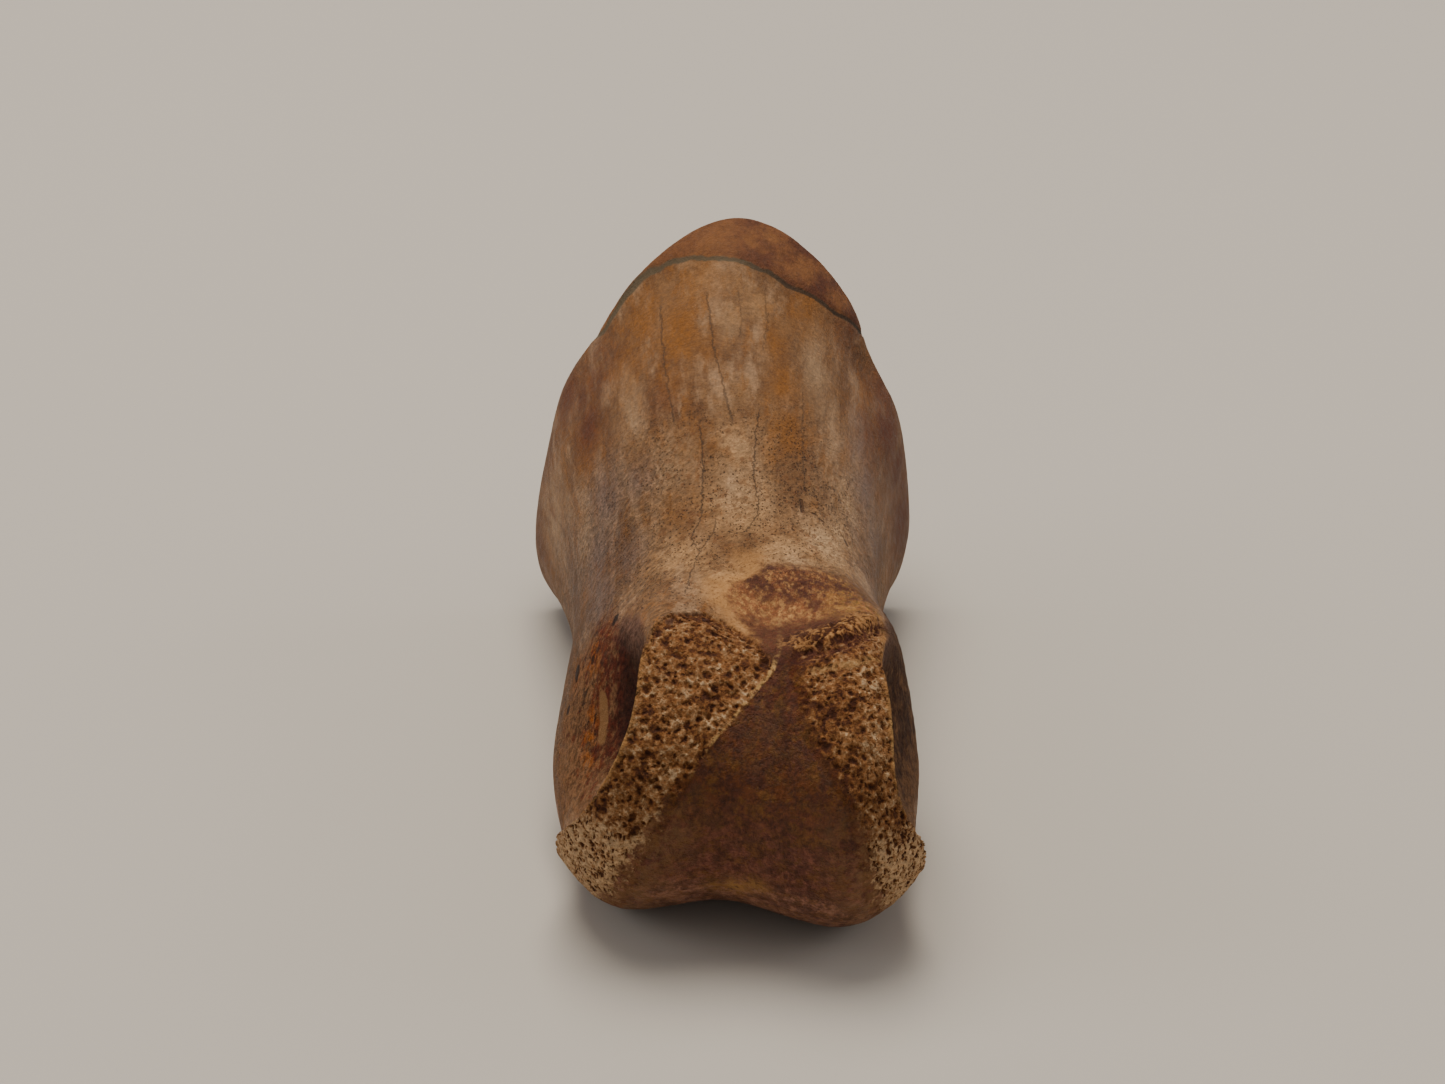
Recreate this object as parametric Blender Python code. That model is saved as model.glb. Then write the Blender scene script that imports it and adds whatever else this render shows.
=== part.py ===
"""A fossil tyrannosaur toe bone, one solid, lying on its plantar (sole) side.

Metres, +Z up. The bone's length runs along Y: the grooved distal joint faces -Y and the hollowed
proximal joint faces +Y. The origin is at the bottom centre of the bone.

The surface is a box grid bent to shape. Its -Y face becomes the distal joint surface, its +Y face the
proximal joint surface, and its four long faces the shaft. The box's -Y edges become the crests that
part the distal joint surface from the ligament pits.
"""
import math
from collections import namedtuple

import bmesh
import bpy

MM = 0.001

# Grid: quads across the bone, along it and up its height.
QUADS_ACROSS = 20
QUADS_ALONG = 38
QUADS_HIGH = 22

# Distal joint: two condyles round a hinge axis that lies across the bone. Angles are read from
# straight forward, up over the top and down under the sole.
CONDYLE_RADIUS = 8.7 * MM
HINGE_HEIGHT = 8.4 * MM
HINGE_BACK = 8.0 * MM
HINGE_SLANT = 0.15
ARC_TOP = math.radians(94)
ARC_UNDER = math.radians(-108)
ARC_TOP_DIP = math.radians(24)
DIP_START = math.radians(25)
JOINT_SQUARENESS = 4.6

# Groove between the condyles, which leans to the right toward the top, and their rounded outer lobes.
# The left lobe is worn rounder than the right one.
GROOVE_DEPTH = 1.05 * MM
GROOVE_SPREAD = 3.1 * MM
GROOVE_LEAN = 1.9 * MM
GROOVE_LEAN_END = math.radians(-14)
LOBE_START = 5.2 * MM
LOBE_REACH = 4.4 * MM
LEFT_LOBE_DROP = 3.6 * MM
RIGHT_LOBE_DROP = 2.6 * MM
LOBE_POWER = 2.2

# How far the joint's side crests stand from the middle, at the top and at the sole, and the angles
# between which they flare.
LEFT_TOP_REACH = 4.85 * MM
LEFT_SOLE_REACH = 9.1 * MM
LEFT_FLARE_TOP = math.radians(52)
LEFT_FLARE_END = math.radians(-28)
RIGHT_TOP_REACH = 8.5 * MM
RIGHT_SOLE_REACH = 10.3 * MM
RIGHT_FLARE_TOP = math.radians(32)
RIGHT_FLARE_END = math.radians(-20)

# Share of the length over which the joint's round edge turns into upright sections.
JOINT_SHARE = 0.30

# Upright sections along the shaft, in mm apart from the shares and the squareness of the corners.
Section = namedtuple(
    "Section", "share back bottom top half_width narrowing above below shift lean_side lean_back"
)
SECTIONS = (
    Section(0.00, 10.8, 0.5, 17.3, 9.0, 0.18, 6.0, 6.0, 0.9, 1.0, -1.8),
    Section(0.20, 13.2, 1.0, 16.8, 9.1, 0.21, 3.8, 4.6, 0.9, 0.9, -1.4),
    Section(0.36, 16.8, 2.0, 16.2, 8.7, 0.15, 2.6, 3.6, 0.2, 0.6, -0.5),
    Section(0.50, 22.0, 2.8, 16.7, 8.3, 0.12, 2.3, 3.2, 0.0, 0.3, 0.2),
    Section(0.64, 28.5, 2.4, 18.5, 8.8, 0.17, 2.1, 3.4, -0.1, 0.2, 0.7),
    Section(0.78, 34.5, 1.2, 20.5, 9.7, 0.21, 1.84, 3.4, -0.2, 0.3, 1.6),
    Section(0.89, 38.4, -0.3, 21.8, 10.3, 0.22, 1.76, 3.3, -0.1, 0.5, 2.4),
    Section(0.97, 40.9, -0.7, 22.9, 10.4, 0.23, 1.8, 3.2, 0.0, 0.6, 2.9),
    Section(1.00, 41.3, 0.1, 22.4, 10.0, 0.23, 1.84, 3.2, 0.0, 0.6, 3.0),
)

# Ligament pits, one on each side of the distal joint. Along the bone a pit falls off steeply behind
# the crest and runs out toward the shaft; up the flank it ends sharply above and fades below.
PIT_WALL = 0.04
PIT_FLOOR_END = 0.07
PIT_RUN_OUT = 0.16
PIT_UP = 0.26
PIT_ABOVE = 0.36
PIT_BELOW = 0.52
LEFT_PIT_DEPTH = 4.0 * MM
RIGHT_PIT_DEPTH = 3.2 * MM

# Hollow on the upper side behind the distal joint.
HOLLOW_SIDE = 3.0 * MM
HOLLOW_BACK = 10.2 * MM
HOLLOW_HALF_WIDTH = 4.0 * MM
HOLLOW_HALF_LENGTH = 3.2 * MM
HOLLOW_DEPTH = 1.3 * MM

# Grooves along the middle of the underside: one between the condyles, one at the proximal end that
# leaves a pad under each corner.
Groove = namedtuple("Groove", "back half_length half_width depth")
SOLE_GROOVES = (
    Groove(10.0 * MM, 6.5 * MM, 3.4 * MM, 1.2 * MM),
    Groove(38.0 * MM, 7.0 * MM, 4.0 * MM, 0.9 * MM),
)

# Share over which the hollow and the sole groove come in behind the joint's edge.
EDGE_SHARE = 0.06

# Glued break: the lip behind it stands a little proud of the shaft. Seen from above the break is a
# curve that is furthest forward right of the middle and meets the rim at both sides. The step begins
# at a share of the half height below the middle of the flank.
BREAK_BACK = 40.1 * MM
BREAK_SIDE = 3.6 * MM
BREAK_BEND = 45.0
BREAK_FURTHEST = 42.7 * MM
BREAK_HALF_WIDTH = 0.6 * MM
BREAK_STEP = 0.3 * MM
BREAK_LOW_END = 0.2

# Chip in the right side of the rim at the break.
CHIP_BACK = 41.0 * MM
CHIP_HEIGHT = 15.0 * MM
CHIP_HALF_LENGTH = 3.5 * MM
CHIP_HALF_HEIGHT = 2.4 * MM
CHIP_DEPTH = 0.8 * MM

# Proximal joint: a shallow socket with an upright ridge between its two hollows.
SOCKET_DEPTH = 2.6 * MM
SOCKET_RIDGE = 0.55
SOCKET_RIDGE_HALF_WIDTH = 2.6 * MM

BONE_COLOUR = (0.31, 0.18, 0.09, 1.0)
BONE_ROUGHNESS = 0.62

# A grid point this close to 1 counts as on the box's face.
ON_FACE = 0.9999


def ease(value):
    """Rises smoothly from 0 to 1 as value does."""
    value = min(max(value, 0.0), 1.0)
    return value * value * (3.0 - 2.0 * value)


def mix(low, high, share):
    return low + (high - low) * share


def bell(distance, spread):
    return math.exp(-((distance / spread) ** 2))


def section_at(share):
    """The section at a share of the length, on a smooth curve through the given sections."""
    index = 0
    while index < len(SECTIONS) - 2 and share > SECTIONS[index + 1].share:
        index += 1
    start = SECTIONS[index]
    end = SECTIONS[index + 1]
    before = SECTIONS[max(index - 1, 0)]
    after = SECTIONS[min(index + 2, len(SECTIONS) - 1)]
    span = end.share - start.share
    step = (share - start.share) / span
    values = []
    for low, high, previous, following in zip(start, end, before, after):
        slope_in = (high - previous) / (end.share - before.share) * span
        slope_out = (following - low) / (after.share - start.share) * span
        value = low * (1 + 2 * step) * (1 - step) ** 2 + high * step ** 2 * (3 - 2 * step)
        value += slope_in * step * (1 - step) ** 2 - slope_out * step ** 2 * (1 - step)
        values.append(value)
    return Section(*values)


def rounded(across, up, above, below):
    """Pulls a point of the square [-1, 1] x [-1, 1] in to a square with rounded corners."""
    reach = max(abs(across), abs(up))
    if reach == 0.0:
        return 0.0, 0.0
    squareness = mix(below, above, ease(0.5 + up / reach))
    corner = (abs(across) / reach) ** squareness + (abs(up) / reach) ** squareness
    shrink = corner ** (1.0 / squareness)
    return across / shrink, up / shrink


def crest_reach(angle, top, sole, flare_top, flare_end):
    """How far a side crest stands from the middle at an angle round the hinge."""
    return mix(top, sole, ease((flare_top - angle) / (flare_top - flare_end)))


def joint_point(across, up):
    """A point of the distal joint surface."""
    side, rise = rounded(across, up, JOINT_SQUARENESS, JOINT_SQUARENESS)
    angle = mix(ARC_UNDER, ARC_TOP, 0.5 + 0.5 * rise)
    left = -crest_reach(angle, LEFT_TOP_REACH, LEFT_SOLE_REACH, LEFT_FLARE_TOP, LEFT_FLARE_END)
    right = crest_reach(angle, RIGHT_TOP_REACH, RIGHT_SOLE_REACH, RIGHT_FLARE_TOP, RIGHT_FLARE_END)
    x = mix(left, right, 0.5 + 0.5 * side)
    groove_x = GROOVE_LEAN * ease((angle - GROOVE_LEAN_END) / (ARC_TOP - GROOVE_LEAN_END))
    groove = bell(x - groove_x, GROOVE_SPREAD)
    angle -= ARC_TOP_DIP * groove * ease((angle - DIP_START) / (ARC_TOP - DIP_START))
    lobe = max(abs(x) - LOBE_START, 0.0) / LOBE_REACH
    drop = LEFT_LOBE_DROP if x < 0.0 else RIGHT_LOBE_DROP
    radius = CONDYLE_RADIUS - GROOVE_DEPTH * groove - drop * lobe ** LOBE_POWER
    y = HINGE_BACK - radius * math.cos(angle) - HINGE_SLANT * x
    z = HINGE_HEIGHT + radius * math.sin(angle)
    return x, y, z


def section_point(across, up, share):
    """A point of the upright section at a share of the length, or inside it."""
    section = section_at(share)
    side, rise = rounded(across, up, section.above, section.below)
    half_width = section.half_width * (1.0 - section.narrowing * rise)
    x = (section.shift + half_width * side + section.lean_side * rise) * MM
    y = (section.back + section.lean_back * rise) * MM
    z = mix(section.bottom, section.top, 0.5 + 0.5 * rise) * MM
    return x, y, z


def pit_depth(across, up, share):
    """How far the ligament pit sinks a flank inward."""
    if abs(across) < ON_FACE:
        return 0.0
    wall = ease(share / PIT_WALL)
    run_out = 1.0 - ease((share - PIT_FLOOR_END) / PIT_RUN_OUT)
    height = bell(up - PIT_UP, PIT_ABOVE if up > PIT_UP else PIT_BELOW)
    return wall * run_out * height * (LEFT_PIT_DEPTH if across < 0.0 else RIGHT_PIT_DEPTH)


def break_step(x, y, z, up):
    """Moves a point behind the glued break out from the bone's middle line, and in at the chip."""
    line = min(BREAK_BACK + BREAK_BEND * (x - BREAK_SIDE) ** 2, BREAK_FURTHEST)
    step = BREAK_STEP * ease(0.5 + (y - line) / BREAK_HALF_WIDTH) * ease(BREAK_LOW_END + up)
    if x > 0.0:
        step -= CHIP_DEPTH * bell(y - CHIP_BACK, CHIP_HALF_LENGTH) * bell(z - CHIP_HEIGHT, CHIP_HALF_HEIGHT)
    height = z - 0.5 * (SECTIONS[-1].bottom + SECTIONS[-1].top) * MM
    reach = math.hypot(x, height)
    return x + step * x / reach, y, z + step * height / reach


def shaft_point(across, up, share):
    """A point of the shaft, from the joint's edge at share 0 to the proximal rim at share 1."""
    edge = joint_point(across, up)
    section = section_point(across, up, share)
    blend = math.sin(min(share / JOINT_SHARE, 1.0) * math.pi / 2.0)
    x, y, z = (mix(edge[axis], section[axis], blend) for axis in range(3))
    x -= math.copysign(pit_depth(across, up, share), across)
    if up > 0.0:
        hollow = bell(x - HOLLOW_SIDE, HOLLOW_HALF_WIDTH) * bell(y - HOLLOW_BACK, HOLLOW_HALF_LENGTH)
        z -= HOLLOW_DEPTH * hollow * ease(up) * ease(share / EDGE_SHARE)
    else:
        for groove in SOLE_GROOVES:
            rise = groove.depth * bell(x, groove.half_width) * bell(y - groove.back, groove.half_length)
            z += rise * ease(-up) * ease(share / EDGE_SHARE)
    return break_step(x, y, z, up)


def socket_point(across, up):
    """A point of the proximal joint surface."""
    x, y, z = section_point(0.0, 0.0, 1.0)
    reach = max(abs(across), abs(up))
    if reach > 0.0:
        rim = shaft_point(across / reach, up / reach, 1.0)
        x, y, z = mix(x, rim[0], reach), mix(y, rim[1], reach), mix(z, rim[2], reach)
    ridge = 1.0 - SOCKET_RIDGE * bell(x, SOCKET_RIDGE_HALF_WIDTH)
    return x, y - SOCKET_DEPTH * ridge * (1.0 - reach * reach), z


def bone_point(across, along, up):
    """The place on the bone of a point of the box."""
    inside_face = max(abs(across), abs(up)) < ON_FACE
    if inside_face and along < 0.0:
        return joint_point(across, up)
    if inside_face:
        return socket_point(across, up)
    return shaft_point(across, up, 0.5 + 0.5 * along)


def box_grid():
    """A cube from -1 to 1 whose faces are cut into an even grid."""
    grid = bmesh.new()
    bmesh.ops.create_cube(grid, size=2.0)
    for axis, quads in enumerate((QUADS_ACROSS, QUADS_ALONG, QUADS_HIGH)):
        lines = [
            edge for edge in grid.edges
            if abs(edge.verts[0].co[axis] - edge.verts[1].co[axis]) > 1.0
        ]
        bmesh.ops.subdivide_edges(grid, edges=lines, cuts=quads - 1)
    return grid


def middle(values):
    return 0.5 * (min(values) + max(values))


def bone_material():
    material = bpy.data.materials.new("fossil_bone")
    material.use_nodes = True
    shader = material.node_tree.nodes["Principled BSDF"]
    shader.inputs["Base Color"].default_value = BONE_COLOUR
    shader.inputs["Roughness"].default_value = BONE_ROUGHNESS
    shader.inputs["Metallic"].default_value = 0.0
    return material


def toe_bone():
    grid = box_grid()
    for vertex in grid.verts:
        x, y, z = bone_point(*vertex.co)
        # The worn pads of the sole end flat, at the surface that the bone lies on.
        vertex.co = (x, y, max(z, 0.0))
    to_middle = [-middle([vertex.co[axis] for vertex in grid.verts]) for axis in (0, 1)]
    bmesh.ops.translate(grid, verts=grid.verts, vec=(*to_middle, 0.0))
    bmesh.ops.recalc_face_normals(grid, faces=grid.faces)
    mesh = bpy.data.meshes.new("toe_bone")
    grid.to_mesh(mesh)
    grid.free()
    mesh.shade_smooth()
    mesh.materials.append(bone_material())
    bone = bpy.data.objects.new("toe_bone", mesh)
    bpy.context.scene.collection.objects.link(bone)


for leftover in list(bpy.data.objects):
    bpy.data.objects.remove(leftover)
toe_bone()
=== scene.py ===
"""A fossil tyrannosaur toe bone lying on its sole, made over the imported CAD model. Metres, +Z up."""
import math

import bmesh
import bpy
import numpy as np
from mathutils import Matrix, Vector


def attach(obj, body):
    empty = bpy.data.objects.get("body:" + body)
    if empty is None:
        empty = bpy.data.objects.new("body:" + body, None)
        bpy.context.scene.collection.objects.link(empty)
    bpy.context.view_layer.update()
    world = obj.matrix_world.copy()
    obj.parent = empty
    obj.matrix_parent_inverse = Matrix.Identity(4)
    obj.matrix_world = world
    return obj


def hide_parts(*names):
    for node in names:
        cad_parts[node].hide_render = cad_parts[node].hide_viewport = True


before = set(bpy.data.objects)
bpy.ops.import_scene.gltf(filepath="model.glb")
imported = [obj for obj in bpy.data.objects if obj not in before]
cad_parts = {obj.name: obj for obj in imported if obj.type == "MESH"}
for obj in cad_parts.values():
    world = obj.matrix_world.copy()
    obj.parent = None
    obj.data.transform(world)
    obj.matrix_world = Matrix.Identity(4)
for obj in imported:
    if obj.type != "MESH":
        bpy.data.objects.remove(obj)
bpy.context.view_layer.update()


# The view: a long lens in front of the worn joint end and above it, looking down along the bone, so that
# the joint stands large in front and the shaft and the lip rise behind it.
MM = 0.001
SIGHT_POINT = Vector((0.0, 1.6 * MM, 12.9 * MM))
SIGHT_DISTANCE = 222.0 * MM
LOOK_DOWN = math.radians(29.0)
LENS_WIDTHS = 4000.0 / 1445.0
SENSOR_MM = 36.0
NEAREST_SEEN = 0.01
FURTHEST_SEEN = 20.0

lens = bpy.data.cameras.new("bench_camera")
lens.sensor_width = SENSOR_MM
lens.lens = LENS_WIDTHS * SENSOR_MM
lens.clip_start = NEAREST_SEEN
lens.clip_end = FURTHEST_SEEN
camera = bpy.data.objects.new("bench_camera", lens)
back = Vector((0.0, -math.cos(LOOK_DOWN), math.sin(LOOK_DOWN)))
camera.location = SIGHT_POINT + SIGHT_DISTANCE * back
camera.rotation_euler = (math.pi / 2.0 - LOOK_DOWN, 0.0, 0.0)
bpy.context.scene.collection.objects.link(camera)
bpy.context.scene.camera = camera


def paint(red, green, blue):
    """A colour as a paint chart gives it, in parts of 255, as Blender's own linear colour."""
    shares = (value / 255.0 for value in (red, green, blue))
    return (*(s / 12.92 if s <= 0.04045 else ((s + 0.055) / 1.055) ** 2.4 for s in shares), 1.0)


# The bench: one sheet of pale card that the bone lies on, large enough to fill the view, with a trace of
# unevenness in its colour.
CARD_SIDE = 6.0
CARD_PALE = paint(187, 177, 163)
CARD_DULL = paint(182, 172, 158)
CARD_CLOUDS_PER_M = 9.0
CARD_ROUGHNESS = 0.85

card_mesh = bpy.data.meshes.new("bench_card")
card_build = bmesh.new()
bmesh.ops.create_grid(card_build, x_segments=1, y_segments=1, size=CARD_SIDE / 2.0)
card_build.to_mesh(card_mesh)
card_build.free()
card = bpy.data.objects.new("bench_card", card_mesh)
bpy.context.scene.collection.objects.link(card)


def add_node(tree, kind, inputs=(), **settings):
    """Adds a node, sets its options and feeds its inputs: a value is set, a socket is linked."""
    made = tree.nodes.new(kind)
    for name, value in settings.items():
        setattr(made, name, value)
    for key, value in dict(inputs).items():
        if isinstance(value, bpy.types.NodeSocket):
            tree.links.new(value, made.inputs[key])
        else:
            made.inputs[key].default_value = value
    return made


def sum_of(tree, operation, first, second=0.0, third=0.0, clamp=False):
    """One step of arithmetic on values or sockets."""
    inputs = {0: first, 1: second, 2: third}
    return add_node(tree, "ShaderNodeMath", inputs, operation=operation, use_clamp=clamp).outputs[0]


def rise(tree, value, start, end, low=0.0, high=1.0):
    """Goes smoothly from low to high while value goes from start to end, and stays there."""
    inputs = {"Value": value, 1: start, 2: end, 3: low, 4: high}
    kind = "ShaderNodeMapRange"
    return add_node(tree, kind, inputs, interpolation_type="SMOOTHSTEP").outputs["Result"]


def blend(tree, share, under, over, how="MIX"):
    """Lays one colour over another by a share."""
    inputs = {0: share, 6: under, 7: over}
    kind = "ShaderNodeMix"
    made = add_node(tree, kind, inputs, data_type="RGBA", blend_type=how, clamp_factor=True)
    return made.outputs[2]


def cloud(tree, place, scale, detail=2.0, roughness=0.5):
    """Soft irregular patches, so many to one unit of the place."""
    inputs = {"Vector": place, "Scale": scale, "Detail": detail, "Roughness": roughness}
    return add_node(tree, "ShaderNodeTexNoise", inputs).outputs[0]


card_finish = bpy.data.materials.new("pale_card")
card_finish.use_nodes = True
card_tree = card_finish.node_tree
card_shader = card_tree.nodes["Principled BSDF"]
card_shader.inputs["Roughness"].default_value = CARD_ROUGHNESS
card_place = add_node(card_tree, "ShaderNodeTexCoord").outputs["Object"]
card_tone = blend(card_tree, cloud(card_tree, card_place, CARD_CLOUDS_PER_M), CARD_PALE, CARD_DULL)
card_tree.links.new(card_tone, card_shader.inputs["Base Color"])
card_mesh.materials.append(card_finish)


# The light: one large soft lamp overhead and a little behind, a weaker one on each side, and an even
# pale surround that fills the shadows. Each lamp is a square panel, given by place, side, watts and tint.
SURROUND = paint(235, 236, 240)
SURROUND_STRENGTH = 0.42
LAMPS = (
    ("lamp_overhead", (-0.05, 0.12, 0.60), 0.40, 4.2, paint(255, 250, 242)),
    ("lamp_left", (-0.50, -0.02, 0.26), 0.30, 0.8, paint(246, 248, 255)),
    ("lamp_right", (0.50, 0.08, 0.24), 0.30, 0.6, paint(250, 250, 255)),
)

world = bpy.data.worlds.new("pale_surround")
world.use_nodes = True
world.node_tree.nodes["Background"].inputs["Color"].default_value = SURROUND
world.node_tree.nodes["Background"].inputs["Strength"].default_value = SURROUND_STRENGTH
bpy.context.scene.world = world

for lamp_name, lamp_place, side, watts, tint in LAMPS:
    light = bpy.data.lights.new(lamp_name, "AREA")
    light.shape = "SQUARE"
    light.size = side
    light.energy = watts
    light.color = tint[:3]
    lamp = bpy.data.objects.new(lamp_name, light)
    lamp.location = lamp_place
    lamp.rotation_euler = (SIGHT_POINT - lamp.location).to_track_quat("-Z", "Y").to_euler()
    bpy.context.scene.collection.objects.link(lamp)


# The bone: one grown piece, mineralised right through. Its joint end was worn down to the spongy bone on
# both condyles, a flake of its proximal lip was glued back on, and fine drying cracks run down the shaft.
BONE_NODE = "toe_bone"
SAME_PLACE = 1e-6
SHARP_EDGE = math.radians(32.0)
FLAT_ENOUGH = math.radians(50.0)
SQUARE_ENOUGH = math.radians(70.0)
EDGE_CREASE = 0.55
SMOOTHING_STEPS = 2

bone_build = bmesh.new()
bone_build.from_mesh(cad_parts[BONE_NODE].data)
bmesh.ops.remove_doubles(bone_build, verts=bone_build.verts, dist=SAME_PLACE)
bmesh.ops.join_triangles(
    bone_build,
    faces=bone_build.faces,
    angle_face_threshold=FLAT_ENOUGH,
    angle_shape_threshold=SQUARE_ENOUGH,
)
crease = bone_build.edges.layers.float.new("crease_edge")
for edge in bone_build.edges:
    if len(edge.link_faces) == 2 and edge.calc_face_angle() > SHARP_EDGE:
        edge[crease] = EDGE_CREASE
bone_mesh = bpy.data.meshes.new("fossil_bone")
bone_build.to_mesh(bone_mesh)
bone_build.free()
bone = bpy.data.objects.new("fossil_bone", bone_mesh)
bpy.context.scene.collection.objects.link(bone)


def settle(piece, name):
    """Turns a piece and its modifiers into a plain mesh with no modifiers."""
    evaluated = piece.evaluated_get(bpy.context.evaluated_depsgraph_get())
    mesh = bpy.data.meshes.new_from_object(evaluated)
    piece.modifiers.clear()
    old = piece.data
    piece.data = mesh
    bpy.data.meshes.remove(old)
    mesh.name = name


rounding = bone.modifiers.new("rounding", "SUBSURF")
rounding.levels = SMOOTHING_STEPS
rounding.render_levels = SMOOTHING_STEPS
settle(bone, "fossil_bone")


# Where things lie on the bone, in millimetres and degrees. The joint is read by its swing round the
# hinge: 0 straight forward, 90 on top, -90 at the sole.
HINGE_Y = -13.40
HINGE_Z = 8.4
HINGE_SLANT = 0.15
MIDDLE_X = 0.30
CONDYLE = 8.7
GROOVE_DEPTH = 1.05
GROOVE_SPREAD = 3.1
GROOVE_LEAN = 1.9
GROOVE_LEANS_FROM = -14.0
GROOVE_LEANS_FOR = 108.0
LOBE_START = 5.2
LOBE_REACH = 4.4
LEFT_LOBE_DROP = 3.6
RIGHT_LOBE_DROP = 2.6
LOBE_POWER = 2.2
SHAFT_Z = 11.0
JOINT_STARTS = -118.0
JOINT_ENDS = 122.0

# Borders of the two worn patches: how far across (x) at each swing, and the swing of their upper edges.
LEFT_BORDER = ((-60, -5.6), (-39, -5.0), (-24, -4.5), (-6, -3.5), (7, -2.7), (18, -1.8), (27, -1.1),
               (35, -0.5), (42, 0.4), (50, 1.15), (58, 1.9), (67, 2.7), (80, 3.2))
RIGHT_BORDER = ((-60, 7.9), (-28, 7.4), (-12, 7.0), (2, 6.7), (15, 6.2), (26, 5.4), (33, 4.6), (38, 4.1),
                (48, 3.8), (58, 3.6), (67, 3.4), (80, 3.2))
LEFT_TOP = ((-6.0, 60), (-3.8, 71), (-3.5, 81), (-2.6, 88), (-1.7, 93), (-0.5, 96), (0.9, 93), (1.8, 84),
            (2.3, 76), (2.7, 67), (3.5, 55))
RIGHT_TOP = ((2.8, 60), (3.2, 69), (3.6, 80), (4.2, 90), (5.5, 98), (6.9, 106), (8.2, 112), (9.0, 116))
PATCH_LOW_END = -62.0
DEGREE_MM = 0.152
# How wide the patches fade out into the sound joint: sharp at the upper left, softly everywhere else.
LEFT_FADE = ((-60, 2.2), (-10, 2.0), (8, 1.8), (18, 1.3), (24, 0.5), (30, 0.3), (80, 0.25))
RIGHT_FADE = ((-60, 1.6), (15, 1.6), (30, 1.3), (48, 0.9), (60, 1.2))

# The groove that slants across the top of the right patch, the pale rim in front of it, and the spongy
# lump behind it, as places in millimetres.
GROOVE_PATH = ((3.8, -15.9, 16.0), (4.7, -16.0, 16.3), (6.0, -15.8, 16.7), (7.3, -14.8, 16.7),
               (8.6, -12.0, 15.4))
RIM_PATH = ((4.7, -17.3, 15.9), (6.3, -17.4, 16.3), (7.5, -16.8, 16.3), (7.9, -16.4, 16.0))
LUMP_PATH = ((4.2, -14.3, 15.9), (5.5, -14.2, 16.3), (6.8, -13.4, 16.3), (7.9, -12.2, 15.9))

# The glued break, as the place along the bone (y) at each angle round the shaft.
BREAK_LINE = ((-75, 24.0), (-60, 21.6), (-51, 20.4), (-45, 20.8), (-37, 21.1), (-25, 21.4), (-13, 20.5),
              (-2, 19.65), (7, 19.05), (22, 18.7), (38, 19.2), (48, 19.9), (56, 20.8), (66, 22.6), (80, 25.0))
# Where the same break crosses the socket, as its height at each place across, and where the socket is.
SOCKET_BREAK = ((-9.0, 15.0), (-6.0, 15.3), (-3.5, 14.2), (-1.0, 14.6), (1.5, 13.8), (4.0, 14.9), (9.0, 15.2))
SOCKET_Y = 16.0


def along_chart(values, chart):
    """Reads a chart of (place, height) pairs at each value."""
    points, heights = zip(*chart)
    return np.interp(values, points, heights)


def eased(values):
    """From 0 to 1, starting and ending softly."""
    values = np.clip(values, 0.0, 1.0)
    return values * values * (3.0 - 2.0 * values)


def bell(distance, spread):
    return np.exp(-((distance / spread) ** 2))


def averaged(values, pairs, times):
    """Each corner's value moved to the mean of its neighbours' a number of times."""
    count = np.bincount(pairs.ravel(), minlength=len(values)).astype(float)
    for _ in range(times):
        total = np.zeros_like(values)
        for axis in range(values.shape[1]):
            total[:, axis] = np.bincount(pairs[:, 0], values[pairs[:, 1], axis], len(values))
            total[:, axis] += np.bincount(pairs[:, 1], values[pairs[:, 0], axis], len(values))
        values = total / count[:, None]
    return values


def all_vectors(collection, name):
    flat = np.empty(len(collection) * 3, dtype=np.float32)
    collection.foreach_get(name, flat)
    return flat.reshape(-1, 3).astype(float)


def corner_places(mesh):
    """The mesh's corners in millimetres."""
    return all_vectors(mesh.vertices, "co") / MM


def corner_normals(mesh):
    """The way that the surface faces at each corner."""
    return all_vectors(mesh.vertex_normals, "vector")


def keep(mesh, name, values, kind="FLOAT"):
    """Stores one value for each corner, for the relief and the finish to read."""
    layer = mesh.attributes.new(name, kind, "POINT")
    layer.data.foreach_set("vector" if kind == "FLOAT_VECTOR" else "value", values.astype(np.float32).ravel())


def joint_swing(place):
    """The swing round the hinge, the distance from it, and the distance that a sound joint would have."""
    x, y, z = place.T
    hinge_y = HINGE_Y - HINGE_SLANT * (x - MIDDLE_X)
    swing = np.degrees(np.arctan2(z - HINGE_Z, hinge_y - y))
    distance = np.hypot(z - HINGE_Z, hinge_y - y)
    groove_x = MIDDLE_X + GROOVE_LEAN * eased((swing - GROOVE_LEANS_FROM) / GROOVE_LEANS_FOR)
    lobe = np.maximum(np.abs(x - MIDDLE_X) - LOBE_START, 0.0) / LOBE_REACH
    drop = np.where(x < MIDDLE_X, LEFT_LOBE_DROP, RIGHT_LOBE_DROP)
    sound = CONDYLE - GROOVE_DEPTH * bell(x - groove_x, GROOVE_SPREAD) - drop * lobe ** LOBE_POWER
    return swing, distance, sound


def joint_cover(place):
    """How surely a corner lies on the joint surface, from 0 to 1."""
    swing, distance, sound = joint_swing(place)
    near = 1.0 - eased((np.abs(distance - sound) - 0.25) / 0.5)
    return near * eased((swing - JOINT_STARTS) / 10.0) * eased((JOINT_ENDS - swing) / 20.0)


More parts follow.
